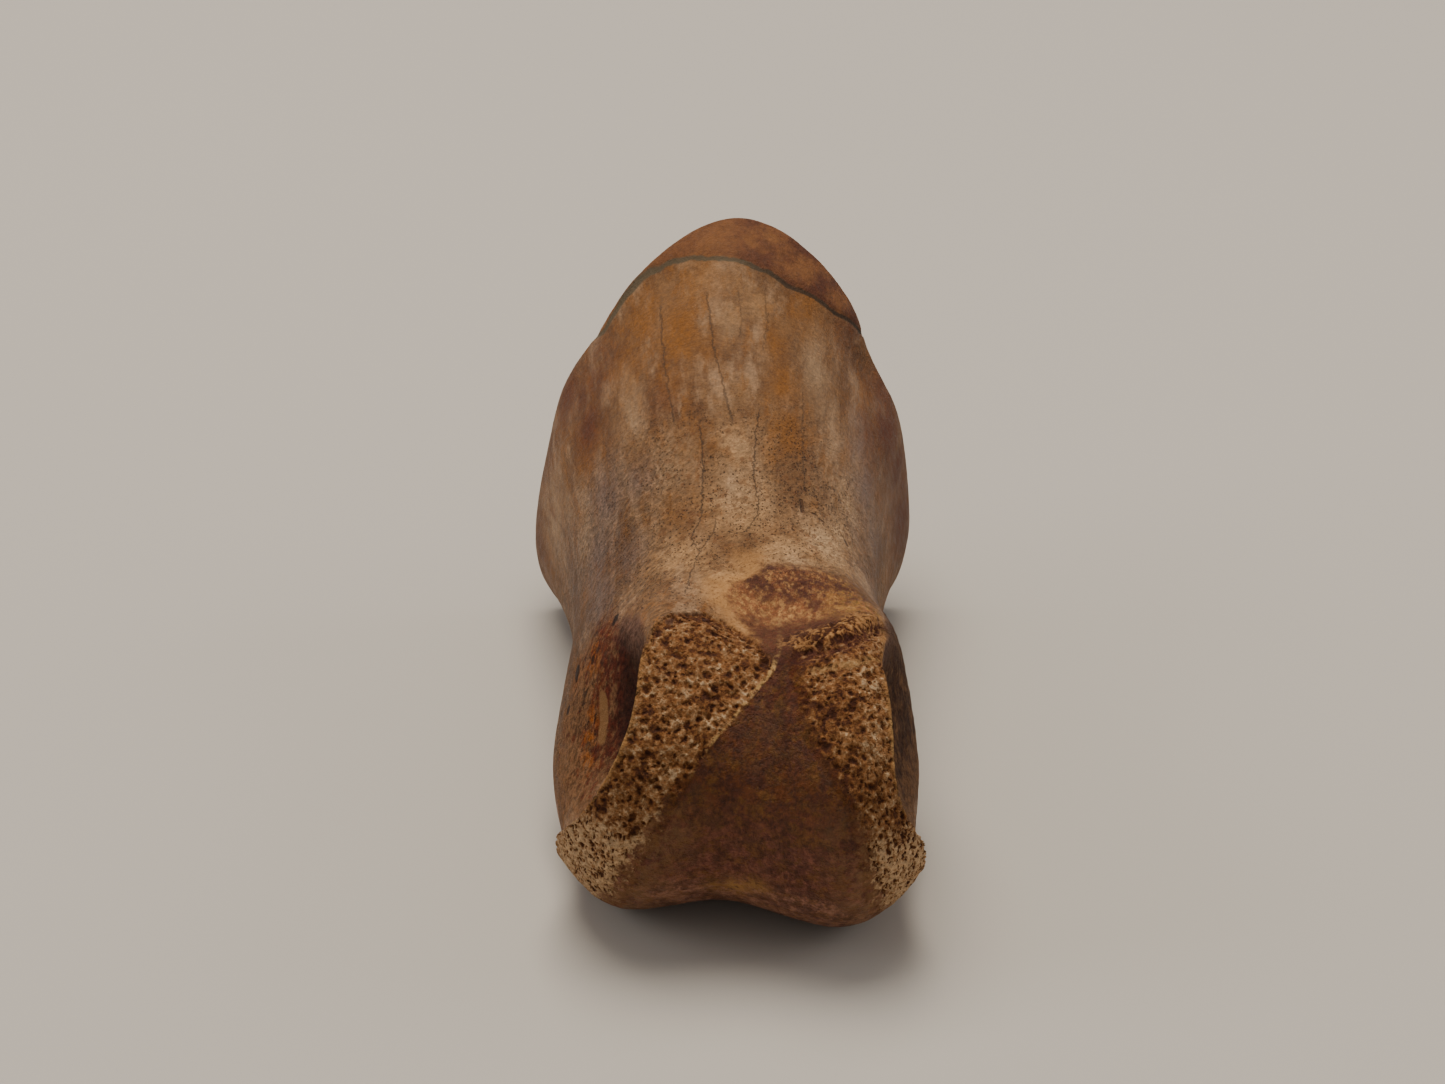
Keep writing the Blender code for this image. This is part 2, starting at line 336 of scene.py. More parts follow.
def worn_reach(place):
    """How far inside the worn patches a corner lies, in millimetres, from all borders and from each kind."""
    x = place[:, 0]
    swing, distance, sound = joint_swing(place)
    low = (swing - PATCH_LOW_END) * DEGREE_MM
    left = along_chart(swing, LEFT_BORDER) - x
    right = x - along_chart(swing, RIGHT_BORDER)
    left_top = (along_chart(x, LEFT_TOP) - swing) * DEGREE_MM
    right_top = (along_chart(x, RIGHT_TOP) - swing) * DEGREE_MM
    reach = np.minimum(np.maximum(np.minimum(left, left_top), np.minimum(right, right_top)), low)
    fullness = np.maximum(left / along_chart(swing, LEFT_FADE), right / along_chart(swing, RIGHT_FADE))
    return np.where(joint_cover(place) > 0.02, reach, -3.0), fullness, left, left_top


def socket_cover(place, normal):
    """How surely a corner lies in the hollow socket at the back, from 0 to 1."""
    return eased((normal[:, 1] - 0.45) / 0.35) * eased(place[:, 1] - SOCKET_Y)


def break_gap(place, normal):
    """How far behind the glued break a corner lies, in millimetres, below 0 in front of it."""
    x, y, z = place.T
    outside = y - along_chart(np.degrees(np.arctan2(x, z - SHAFT_Z)), BREAK_LINE)
    across = z - along_chart(x, SOCKET_BREAK)
    return outside + (across - outside) * socket_cover(place, normal)


# Where the stains and the painted sheen lie, as spots of (x, y, z, reach, strength) in millimetres. Those of
# the shaft follow the grain, so each reaches further along the bone than across it: a lower stretch reaches
# further.
AMBER_SPOTS = ((-2.4, 14.5, 19.7, 1.5, 1.0), (-4.6, 17.2, 18.9, 1.5, 0.9), (-1.0, 12.5, 19.7, 0.9, 0.6),
               (-5.6, 14.6, 17.4, 1.2, 0.7), (-3.0, 10.5, 18.4, 1.0, 0.6), (3.1, 13.0, 19.5, 0.8, 0.8),
               (3.6, 10.0, 18.5, 0.9, 1.0), (3.7, 6.6, 17.6, 0.9, 0.8), (5.0, 17.6, 19.2, 1.4, 0.8),
               (-2.7, 1.0, 16.3, 1.8, 0.5), (4.6, -4.2, 15.8, 1.0, 0.6), (-7.6, 10.5, 13.9, 1.2, 0.8),
               (-1.0, 18.7, 21.2, 1.4, 0.6))
RUST_SPOTS = ((-8.7, 18.4, 13.2, 1.6, 1.0), (-8.3, 16.1, 14.4, 1.2, 0.6), (-7.2, 17.5, 15.6, 1.5, 0.8),
              (-9.9, 16.8, 9.3, 1.6, 1.0), (-7.6, 12.4, 14.3, 1.2, 1.0), (-9.4, 13.0, 8.8, 1.6, 0.8),
              (-10.3, 15.0, 5.6, 2.2, 0.8),
              (9.5, 16.5, 12.1, 2.0, 1.0), (10.0, 15.5, 10.0, 2.2, 1.0), (10.3, 14.0, 7.5, 2.2, 1.0),
              (9.3, 19.0, 13.0, 1.8, 0.9), (7.6, 20.2, 17.5, 1.6, 0.8), (8.4, 12.5, 13.9, 1.3, 0.7),
              (-3.3, 9.2, 17.8, 1.0, 0.4), (9.5, 15.2, 12.9, 1.5, 1.0), (5.1, 21.2, 20.8, 1.0, 0.8),
              (0.0, 20.0, 4.0, 5.0, 0.5), (3.0, 8.0, 3.0, 4.0, 0.4))
PALE_SPOTS = ((-2.9, 3.1, 16.6, 1.2, 0.8), (-4.0, -2.2, 15.2, 1.2, 0.6), (-5.3, 9.5, 16.6, 0.9, 0.9),
              (-5.0, 11.6, 17.2, 0.9, 0.5), (-5.9, 4.8, 15.0, 0.9, 0.5),
              (-8.7, 9.6, 11.0, 0.8, 0.7), (-7.6, 3.9, 12.0, 1.2, 0.9), (-6.6, 2.1, 13.4, 0.8, 0.7),
              (5.6, 13.5, 18.0, 1.3, 1.0), (0.4, 13.6, 20.2, 0.8, 0.5), (-9.8, 11.0, 9.0, 2.0, 1.0),
              (6.0, 9.5, 16.9, 0.9, 0.7), (5.8, 5.6, 16.0, 1.1, 0.7), (7.1, 4.1, 14.2, 1.4, 1.0))
# The mauve spots on both flanks are painted sheen: pale reflections of light from both sides, not stains.
MAUVE_SHEEN_SPOTS = ((-6.5, 4.4, 14.0, 1.6, 0.8), (-6.7, -0.2, 12.7, 1.8, 0.9), (-4.6, 3.6, 15.7, 0.9, 0.7),
               (-5.0, -3.2, 14.4, 1.2, 0.7), (-6.6, -4.4, 12.6, 1.8, 0.9), (-8.3, 3.2, 8.9, 2.6, 0.5),
               (7.8, 9.8, 14.4, 1.0, 0.8), (8.2, 7.0, 13.3, 1.4, 0.9), (8.6, 4.5, 11.6, 1.8, 0.8),
               (7.9, 12.0, 15.0, 0.8, 0.6), (8.0, -4.0, 12.6, 1.6, 0.8), (7.6, 1.5, 13.8, 0.9, 0.6))
BLEACHED_SPOTS = ((1.0, 0.8, 16.5, 2.0, 0.55), (0.8, 4.8, 17.2, 1.3, 0.5), (7.0, 3.0, 14.3, 1.3, 0.5),
                  (5.6, -2.6, 15.4, 1.7, 1.0), (4.0, -6.0, 16.0, 1.2, 0.7), (6.6, -0.6, 14.6, 1.4, 0.8),
                  (7.4, -3.6, 13.4, 1.1, 0.7), (2.6, -7.0, 16.2, 1.0, 0.5))
CREAM_SPOTS = ((0.2, -8.3, 16.2, 1.5, 1.0), (-2.3, -5.5, 15.8, 1.8, 0.8), (3.4, -4.9, 16.0, 1.6, 1.0),
               (5.6, -4.0, 15.2, 1.5, 0.9), (1.0, -1.6, 16.3, 2.0, 0.8), (1.0, 4.4, 17.0, 1.4, 0.55),
               (0.8, 9.0, 18.4, 1.0, 0.2), (0.4, 14.6, 20.4, 1.0, 0.3), (-1.0, 18.0, 21.3, 1.2, 0.2),
               (2.0, 16.0, 20.4, 1.0, 0.4))
# Round stains of the left pit, the joint end and the lower rim of the joint.
ORANGE_SPOTS = ((-6.95, -10.7, 9.2, 0.6, 1.0), (-7.1, -11.1, 8.0, 0.6, 1.0), (-7.1, -11.9, 7.1, 0.7, 0.8),
                (-6.9, -8.8, 11.5, 1.0, 0.9), (-7.8, -7.1, 9.6, 1.0, 0.6), (-5.8, -8.7, 14.0, 0.8, 0.5))
BLACK_SPOTS = ((-5.71, -8.75, 13.96, 0.42, 1.0), (-6.91, -8.85, 11.49, 0.30, 1.0),
               (-7.75, -7.09, 9.63, 0.55, 1.0), (-8.24, -7.89, 7.78, 0.4, 0.9),
               (-0.77, -8.98, 16.29, 0.10, 1.0), (-1.95, -11.9, 16.75, 0.16, 1.0),
               (-2.73, -3.74, 15.68, 0.09, 0.9), (-4.03, -3.36, 15.09, 0.07, 0.8))
YELLOW_SPOTS = ((0.65, -20.1, 4.5, 0.75, 1.0), (1.7, -20.6, 4.9, 0.7, 0.8), (-0.4, -20.0, 4.4, 0.6, 0.6))
STAIN_AND_SHEEN_MARKS = (
    ("amber", AMBER_SPOTS, 0.45),
    ("rust", RUST_SPOTS, 0.45),
    ("pale", PALE_SPOTS, 0.32),
    ("mauve_sheen", MAUVE_SHEEN_SPOTS, 0.45),
    ("cream", CREAM_SPOTS, 0.8),
    ("bleached", BLEACHED_SPOTS, 0.7),
    ("orange", ORANGE_SPOTS, 1.0),
    ("black", BLACK_SPOTS, 1.0),
    ("yellow", YELLOW_SPOTS, 1.0),
)
# A tan streak down the wall of the left pit, and short slits in the waist.
TAN_PATH = ((-6.40, -10.9, 10.4), (-6.35, -11.5, 9.4), (-6.45, -11.9, 8.5))
SLIT_PATHS = (((4.61, 1.97, 16.10), (4.62, 1.7, 16.07)), ((4.35, 0.75, 16.05), (4.40, -0.42, 15.90)),
              ((4.5, -0.3, 15.85), (5.07, -0.13, 15.61), (5.56, -0.5, 15.28)),
              ((6.5, -0.2, 14.6), (6.72, -0.55, 14.34), (6.85, -1.0, 14.1)),
              ((7.75, -0.7, 12.95), (7.9, -1.0, 12.75), (8.0, -1.5, 12.4)))


def spotted(place, spots, stretch):
    """How strongly a stain colours each corner, from 0 to 1."""
    total = np.zeros(len(place))
    for x, y, z, reach, strength in spots:
        distance = np.linalg.norm((place - (x, y, z)) * (1.0, stretch, 1.0), axis=1)
        total = np.maximum(total, strength * bell(distance, reach))
    return total


def path_gap(place, path):
    """The distance to a line through some points, in millimetres."""
    path = np.array(path)
    nearest = np.full(len(place), 99.0)
    for start, end in zip(path[:-1], path[1:]):
        run = end - start
        share = np.clip((place - start) @ run / (run @ run), 0.0, 1.0)
        nearest = np.minimum(nearest, np.linalg.norm(place - start - share[:, None] * run, axis=1))
    return nearest


# The stained hollow behind the joint, by its borders across (x) at each place along (y).
HOLLOW_LEFT = ((-16.8, 2.8), (-15.0, 1.9), (-12.0, 0.9), (-10.0, 0.2), (-8.6, 0.4), (-7.6, 2.0))
HOLLOW_RIGHT = ((-16.8, 3.4), (-15.4, 4.4), (-13.4, 7.0), (-11.0, 8.6), (-7.5, 7.0))
HOLLOW_BACK = -6.6
HOLLOW_ABOVE = 12.0
OFF = -3.0


def hollow_reach(place):
    """How far inside the stained hollow's border a corner lies, in millimetres, below 0 outside."""
    x, y, z = place.T
    reach = np.minimum(x - along_chart(y, HOLLOW_LEFT), along_chart(y, HOLLOW_RIGHT) - x)
    return np.where(z > HOLLOW_ABOVE, np.minimum(reach, HOLLOW_BACK - y), OFF)


# The two ligament pits, one on each side of the joint, by their middle and half their size.
PIT_Y = -12.2
PIT_Z = 10.6
PIT_HALF_LENGTH = 5.8
PIT_HALF_HEIGHT = 6.8


def pit_cover(place, normal):
    """How surely a corner lies in a ligament pit or on the worn rim round it, from 0 to 1."""
    x, y, z = place.T
    out = np.hypot((y - PIT_Y) / PIT_HALF_LENGTH, (z - PIT_Z) / PIT_HALF_HEIGHT)
    steep = eased((0.80 - np.abs(normal[:, 2])) / 0.35)
    return (1.0 - eased((out - 0.60) / 0.7)) * (1.0 - joint_cover(place)) * steep


# The side crests of the joint, as how far each stands from the middle at each swing.
LEFT_CREST = ((-90, 8.1), (-75, 8.7), (-55, 9.0), (-28, 9.1), (-14, 8.75), (0, 7.9), (10, 7.13), (20, 6.35),
              (30, 5.64), (40, 5.11), (52, 4.8), (67, 4.45), (78, 4.05))
RIGHT_CREST = ((-90, 9.3), (-75, 9.9), (-55, 10.2), (-20, 10.3), (-8, 10.05), (6, 9.4), (20, 8.75), (32, 8.5),
               (57, 8.3), (67, 8.1), (78, 8.0), (120, 8.3))


def crest_gap(place):
    """How far inside the side crests of the joint a corner lies, in millimetres."""
    aside = place[:, 0] - MIDDLE_X
    swing = joint_swing(place)[0]
    return np.minimum(aside + along_chart(swing, LEFT_CREST), along_chart(swing, RIGHT_CREST) - aside)


# How many times each corner's place is averaged with its neighbours', for the bone's rough overall shape.
AVERAGINGS = 142


def mark_hollows(mesh):
    """Writes how far each corner stands below the bone around it, in millimetres, below 0 above it."""
    place = corner_places(mesh)
    normal = corner_normals(mesh)
    pairs = np.empty(len(mesh.edges) * 2, dtype=np.int32)
    mesh.edges.foreach_get("vertices", pairs)
    pairs = pairs.reshape(-1, 2)
    around = averaged(place, pairs, AVERAGINGS)
    keep(mesh, "dip", ((around - place) * normal).sum(1))


def mark_bone(mesh):
    """Writes what each corner of the bone is, before any relief moves it."""
    place = corner_places(mesh)
    normal = corner_normals(mesh)
    reach, fullness, left, left_top = worn_reach(place)
    keep(mesh, "grown", place, "FLOAT_VECTOR")
    keep(mesh, "joint", joint_cover(place))
    keep(mesh, "worn", reach)
    keep(mesh, "fullness", fullness)
    keep(mesh, "left_inside", left)
    keep(mesh, "left_below", left_top)
    keep(mesh, "break_gap", break_gap(place, normal))
    keep(mesh, "socket", socket_cover(place, normal))
    keep(mesh, "hollow", hollow_reach(place))
    keep(mesh, "pit", pit_cover(place, normal))
    keep(mesh, "crest", crest_gap(place))
    keep(mesh, "slit", np.minimum.reduce([path_gap(place, path) for path in SLIT_PATHS]))
    for name, path in (("groove", GROOVE_PATH), ("rim", RIM_PATH), ("lump", LUMP_PATH), ("tan", TAN_PATH)):
        keep(mesh, name, path_gap(place, path))
    for name, spots, stretch in STAIN_AND_SHEEN_MARKS:
        keep(mesh, name, spotted(place, spots, stretch))


# The worn patches carry the finest relief, so their faces are cut smaller first.
FINE_FROM = -0.4


def cut_finer(mesh):
    """Cuts each face of the worn patches in four."""
    reach = worn_reach(corner_places(mesh))[0]
    build = bmesh.new()
    build.from_mesh(mesh)
    build.verts.ensure_lookup_table()
    fine = [face for face in build.faces if min(reach[corner.index] for corner in face.verts) > FINE_FROM]
    edges = list({edge for face in fine for edge in face.edges})
    bmesh.ops.subdivide_edges(build, edges=edges, cuts=1, use_grid_fill=True)
    build.to_mesh(mesh)
    build.free()


mark_hollows(bone.data)
cut_finer(bone.data)
mark_bone(bone.data)


# The relief of the bone's surface, in millimetres: the pores and struts of the worn patches, the glued
# break, the groove, the rough walls of the pits, the grain and the slow unevenness of the shaft.
PORES_PER_MM = 1.35
STRUTS_PER_MM = 1.7
STRUT_HEIGHT = 0.03
WORN_UNEVENNESS = 0.36
WORN_GRAIN = 0.12
RELIEF_SIZES = {
    "Pores to a millimetre": PORES_PER_MM,
    "Pore depth": 0.15,
    "Worn depth": 0.06,
    "Upper edge depth": 0.09,
    "Border ridge": 0.06,
    "Ledge depth": 0.34,
    "Lump height": 0.14,
    "Shaft unevenness": 0.30,
    "Hollow roughness": 0.26,
    "Pit roughness": 0.30,
    "Filler depth": 0.09,
}


def vector_of(tree, operation, first, second=(0.0, 0.0, 0.0), third=(0.0, 0.0, 0.0)):
    inputs = {0: first, 1: second, 2: third}
    return add_node(tree, "ShaderNodeVectorMath", inputs, operation=operation).outputs[0]


def product(tree, first, second):
    return sum_of(tree, "MULTIPLY", first, second)


def less(tree, first, second):
    """The first value with the second taken off."""
    return sum_of(tree, "SUBTRACT", first, second)


def stretched(tree, place, across, along, upward):
    """The place, scaled along each axis, so that a pattern read there is stretched."""
    return vector_of(tree, "MULTIPLY_ADD", place, (across, along, upward))


def parts_of(tree, vector):
    """The across (x), along (y) and upward (z) parts of a place."""
    return add_node(tree, "ShaderNodeSeparateXYZ", {0: vector}).outputs


def pushed(tree, place, per_mm, amount):
    """The place pushed about by soft noise, so that a pattern read there has no straight lines."""
    inputs = {"Vector": place, "Scale": per_mm, "Detail": 3.0}
    push = add_node(tree, "ShaderNodeTexNoise", inputs).outputs[1]
    centred = vector_of(tree, "SUBTRACT", push, (0.5, 0.5, 0.5))
    return vector_of(tree, "MULTIPLY_ADD", centred, (amount, amount, amount), place)


def cells(tree, place, per_mm, feature="F1"):
    """A net of cells, so many to a millimetre."""
    inputs = {"Vector": place, "Scale": per_mm}
    return add_node(tree, "ShaderNodeTexVoronoi", inputs, feature=feature).outputs


def pits(tree, place, per_mm, least, most):
    """Round pits of many sizes, one to a cell of a net: from 0 between them to 1 at a pit's bottom."""
    found = cells(tree, place, per_mm)
    chance = parts_of(tree, found["Color"])[0]
    reach = sum_of(tree, "MULTIPLY_ADD", chance, most - least, least)
    return rise(tree, found["Distance"], reach, product(tree, reach, 0.35))


def pore_net(tree, place, per_mm):
    """Wide pores with narrow ones between them, from 0 on a strut to 1 at the bottom of a wide pore."""
    wide = pits(tree, place, per_mm, 0.14, 0.54)
    narrow = pits(tree, place, product(tree, per_mm, 2.1), 0.24, 0.66)
    return sum_of(tree, "MAXIMUM", wide, product(tree, narrow, 0.8))


def struts(tree, place, per_mm):
    """The thin struts between the pores, from 0 beside them to 1 on them."""
    edge = cells(tree, pushed(tree, place, 2.1, 0.5), per_mm, "DISTANCE_TO_EDGE")["Distance"]
    return rise(tree, edge, 0.16, 0.02)


def from_middle(tree, place):
    """The distance from the bone's middle plane, in millimetres."""
    return sum_of(tree, "ABSOLUTE", less(tree, parts_of(tree, place)[0], MIDDLE_X))


def spongy_bone(tree, place, per_mm):
    """The pores of the worn patches: round over most of them, smaller and drawn out upright at the sides."""
    bent = pushed(tree, place, 1.7, 0.62)
    round_pores = pore_net(tree, bent, per_mm)
    drawn_pores = pore_net(tree, stretched(tree, bent, 1.75, 1.75, 1.0), per_mm)
    low = rise(tree, parts_of(tree, place)[2], 9.5, 7.0, 0.0, 2.0)
    share = rise(tree, sum_of(tree, "ADD", from_middle(tree, place), low), 6.0, 7.2)
    return rise(tree, share, 0.0, 1.0, round_pores, drawn_pores)


def uneven(tree, value, place, per_mm, amount, detail=4.0, roughness=0.6):
    """A value moved up and down by soft clouds, so that a border read from it runs unevenly."""
    waves = sum_of(tree, "MULTIPLY_ADD", cloud(tree, place, per_mm, detail, roughness), amount, -0.5 * amount)
    return sum_of(tree, "ADD", value, waves)


def worn_cover(tree, place, reach):
    """From 0 on sound bone to 1 on a worn patch, with a ragged border."""
    return rise(tree, uneven(tree, reach, place, 1.9, 1.0), -0.08, 0.16)


def laid_open(tree, place, fullness):
    """How far the wear has opened the bone, from 0 where a patch fades out to 1 well inside it."""
    ragged = uneven(tree, fullness, place, 1.1, 1.1)
    flecked = uneven(tree, ragged, place, 3.0, 2.0, 4.0, 0.65)
    return rise(tree, flecked, 0.25, 0.85)


def near_line(tree, place, distance, start, end, waves):
    """From 1 on a line to 0 beside it, with the line's edge broken up."""
    broken = sum_of(tree, "MULTIPLY_ADD", cloud(tree, place, 1.6, 4.0, 0.6), waves, distance)
    return rise(tree, less(tree, broken, waves * 0.5), start, end, 1.0, 0.0)


def upper_edge(tree, place, inside, below):
    """The sunken band under the upper edge of the left patch, from 0 to 1."""
    left_only = rise(tree, inside, 0.1, 0.8)
    return product(tree, near_line(tree, place, below, 0.5, 1.3, 0.9), left_only)


def border_ridge(tree, place, inside):
    """The raised rim along the inner border of the left patch, from 0 to 1."""
    off = sum_of(tree, "ABSOLUTE", less(tree, inside, 0.22))
    height = parts_of(tree, place)[2]
    along = product(tree, rise(tree, height, 11.0, 12.8), rise(tree, height, 16.2, 15.4))
    broken = rise(tree, cloud(tree, place, 1.3, 4.0, 0.6), 0.36, 0.52)
    line = product(tree, near_line(tree, place, off, 0.04, 0.20, 0.34), broken)
    return product(tree, line, along)


def crest_band(tree, place, gap):
    """The smoother bone along a side crest: 1 at the crest, 0 where the pores are open."""
    across, along, height = parts_of(tree, place)
    upper = rise(tree, height, 7.5, 13.0, 0.10, 0.42)
    width = product(tree, upper, rise(tree, across, -1.0, 1.0, 1.0, 0.6))
    ragged = sum_of(tree, "MULTIPLY_ADD", cloud(tree, place, 2.4, 4.0, 0.65), 1.0, -0.48)
    return rise(tree, sum_of(tree, "ADD", gap, ragged), width, product(tree, width, 0.5))


def filler_width(tree, place):
    """Half the width of the filler in the break, in millimetres: smeared on the left, a hairline right."""
    return rise(tree, parts_of(tree, place)[0], -6.2, -1.5, 0.42, 0.19)


def break_distance(tree, place, gap):
    """The gap to the break with its line made to wander, in millimetres."""
    return uneven(tree, gap, place, 0.9, 0.6, 3.0, 0.5)


relief = bpy.data.node_groups.new("bone_relief", "GeometryNodeTree")
relief.interface.new_socket("Geometry", in_out="OUTPUT", socket_type="NodeSocketGeometry")
relief.interface.new_socket("Geometry", in_out="INPUT", socket_type="NodeSocketGeometry")
identifiers = {}
for name in RELIEF_SIZES:
    socket = relief.interface.new_socket(name, in_out="INPUT", socket_type="NodeSocketFloat")
    identifiers[name] = socket.identifier
given = relief.nodes.new("NodeGroupInput").outputs


def read_mark(name, kind="FLOAT"):
    """Reads what mark_bone wrote for each corner."""
    return add_node(relief, "GeometryNodeInputNamedAttribute", {"Name": name}, data_type=kind).outputs[0]


def deeper(height, share, depth):
    """Adds a share of a depth to the relief so far."""
    return sum_of(relief, "MULTIPLY_ADD", share, depth, height)


grown = read_mark("grown", "FLOAT_VECTOR")
worn = worn_cover(relief, grown, read_mark("worn"))
worn = product(relief, worn, rise(relief, read_mark("joint"), 0.1, 0.6))
sound = less(relief, 1.0, worn)
hollow_side = rise(relief, read_mark("hollow"), -0.6, 1.0)
opened = laid_open(relief, grown, read_mark("fullness"))
pore = spongy_bone(relief, grown, given["Pores to a millimetre"])
depth = deeper(given["Worn depth"], pore, given["Pore depth"])
depth = deeper(depth, less(relief, cloud(relief, grown, 0.8, 3.0), 0.5), WORN_UNEVENNESS)
depth = deeper(depth, less(relief, cloud(relief, grown, 4.0, 3.0), 0.5), WORN_GRAIN)
edge_band = upper_edge(relief, grown, read_mark("left_inside"), read_mark("left_below"))
depth = deeper(depth, edge_band, given["Upper edge depth"])
depth = deeper(depth, struts(relief, grown, STRUTS_PER_MM), -STRUT_HEIGHT)
off_crest = rise(relief, crest_band(relief, grown, read_mark("crest")), 0.0, 1.0, 1.0, 0.12)
openness = product(relief, rise(relief, opened, 0.0, 1.0, 0.25, 1.0), off_crest)
height = product(relief, depth, product(relief, worn, openness))
ridge = border_ridge(relief, grown, read_mark("left_inside"))
height = deeper(height, ridge, product(relief, given["Border ridge"], -1.0))

groove = near_line(relief, grown, read_mark("groove"), 0.15, 0.85, 0.7)
height = deeper(height, groove, given["Ledge depth"])
lump = near_line(relief, grown, read_mark("lump"), 0.1, 0.9, 0.5)
lump_open = near_line(relief, grown, read_mark("lump"), 0.9, 1.5, 0.6)
lump_pores = product(relief, product(relief, pore, lump_open), sound)
height = deeper(height, lump_pores, given["Pore depth"])
height = deeper(height, lump, product(relief, given["Lump height"], -1.0))

slow = cloud(relief, stretched(relief, grown, 0.22, 0.09, 0.22), 1.0, 3.0, 0.5)
slow = product(relief, less(relief, 0.5, slow), sound)
height = deeper(height, slow, given["Shaft unevenness"])

grains = less(relief, cloud(relief, grown, 2.6, 4.0, 0.65), 0.45)
grains = product(relief, grains, product(relief, hollow_side, sound))
height = deeper(height, grains, given["Hollow roughness"])

walls = cloud(relief, stretched(relief, grown, 1.8, 1.8, 0.8), 1.0, 4.0, 0.6)
walls = product(relief, less(relief, walls, 0.5), read_mark("pit"))
height = deeper(height, walls, given["Pit roughness"])

to_break = sum_of(relief, "ABSOLUTE", break_distance(relief, grown, read_mark("break_gap")))
half_width = filler_width(relief, grown)
filled_from = product(relief, half_width, 0.4)
filled = rise(relief, to_break, filled_from, sum_of(relief, "ADD", half_width, 0.15), 1.0, 0.0)
height = deeper(height, filled, given["Filler depth"])

inward = product(relief, height, -MM)
normal = add_node(relief, "GeometryNodeInputNormal").outputs[0]
offset = add_node(relief, "ShaderNodeVectorMath", {0: normal, "Scale": inward}, operation="SCALE").outputs[0]
moved = add_node(relief, "GeometryNodeSetPosition", {"Geometry": given["Geometry"], "Offset": offset})
whole = add_node(relief, "GeometryNodeRealizeInstances", {0: moved.outputs[0]})
bone_finish = bpy.data.materials.new("fossil_bone")
coated = add_node(relief, "GeometryNodeSetMaterial", {"Geometry": whole.outputs[0], "Material": bone_finish})
relief_out = relief.nodes.new("NodeGroupOutput")
relief.links.new(coated.outputs[0], relief_out.inputs[0])

carving = bone.modifiers.new("relief", "NODES")
carving.node_group = relief
for name, value in RELIEF_SIZES.items():
    carving[identifiers[name]] = value
settle(bone, "fossil_bone")
for polygon in bone.data.polygons:
    polygon.use_smooth = True


# The bone's finish: tan to dark brown mineralised bone, matt, with a faint sheen where it is sound. Colours
# are laid over one another, from the shaft to the joint, the pits, the worn patches and the break.
SHEEN = 0.18

bone_finish.use_nodes = True
finish = bone_finish.node_tree
skin = finish.nodes["Principled BSDF"]
skin.inputs["Specular IOR Level"].default_value = SHEEN


def mark(name, output="Fac"):
    """Reads what mark_bone wrote for each corner."""
    return add_node(finish, "ShaderNodeAttribute", attribute_name=name).outputs[output]


place = mark("grown", "Vector")
x, y, z = parts_of(finish, place)


def times(first, second):
    return product(finish, first, second)


def more_of(first, second):
    """The greater of two values at each place."""
    return sum_of(finish, "MAXIMUM", first, second)


def fade(value, start, end, low=0.0, high=1.0):
    return rise(finish, value, start, end, low, high)


def clouds(per_mm, detail=2.0, roughness=0.5, stretch=None):
    where = place if stretch is None else stretched(finish, place, *stretch)
    return cloud(finish, where, per_mm, detail, roughness)


def patches(per_mm, start, end, detail=3.0, roughness=0.55, stretch=None):
    """Soft patches that cover the places where the clouds are between start and end."""
    return fade(clouds(per_mm, detail, roughness, stretch), start, end)


def raised(under, share, amount):
    """A value with a share of an amount added."""
    return sum_of(finish, "MULTIPLY_ADD", share, amount, under)


def ragged(value, per_mm, amount, detail, roughness=0.5):
    """A value raised by clouds, so that a border read from it is broken up."""
    return raised(value, clouds(per_mm, detail, roughness), amount)


def lay(share, colour, under):
    """Lays a colour over the finish so far by a share."""
    return blend(finish, share, under, colour)


def built_up(under, *layers):
    """Lays colours over one another, each by its own share."""
    for share, colour in layers:
        under = lay(share, colour, under)
    return under


def shaded(colour, light):
    """A colour made darker where light is below 1 and paler where it is above."""
    return blend(finish, 1.0, colour, light, "MULTIPLY")


# Sound bone of the shaft: tan, streaked lengthwise, with stains along the grain and painted mauve sheen on
# the flanks, and specked and leathery on the side towards the joint.
TAN = paint(119, 84, 51)
TAN_PALE = paint(142, 109, 78)
TAN_DARK = paint(94, 60, 31)
ORANGE_BROWN = paint(120, 74, 28)
SPECK = paint(46, 26, 14)
SLIT = paint(66, 38, 16)
OUTER_PIT = paint(104, 62, 30)
STAIN_AND_SHEEN_TONES = (
    ("amber", paint(122, 74, 22), (0.9, 0.22, 0.50, 5.0, 0.7, (1.2, 0.5, 1.2))),
    ("rust", paint(82, 38, 14), (1.0, 0.22, 0.50, 6.0, 0.7, (0.8, 0.20, 0.8))),
    ("pale", paint(145, 114, 82), (1.0, 0.30, 0.60, 6.0, 0.7, (1.2, 0.1, 1.2))),
    # The mauve spots: painted sheen, the pale reflection of light on both flanks.
    ("mauve_sheen", paint(111, 87, 74), (1.0, 0.26, 0.58, 6.0, 0.7, (1.2, 0.16, 1.2))),
    ("cream", paint(174, 131, 86), (0.9, 0.20, 0.60, 4.0, 0.6)),
    ("bleached", paint(176, 140, 101), (0.9, 0.20, 0.60, 4.0, 0.6)),
)
# Where each kind of wear begins and where it is full, in millimetres.
JOINT_SIDE = (13.0, 2.0)
FIBROUS_SIDES = (3.5, 6.5)
LEATHERY_LEFT = (-1.5, -4.0)
LEATHER_TURN = 0.6
SLIT_WIDTH = (0.16, 0.06)
OUTSIDE_PATCH = (-2.6, -0.4)
TOP_OF_JOINT = (13.0, 14.5)

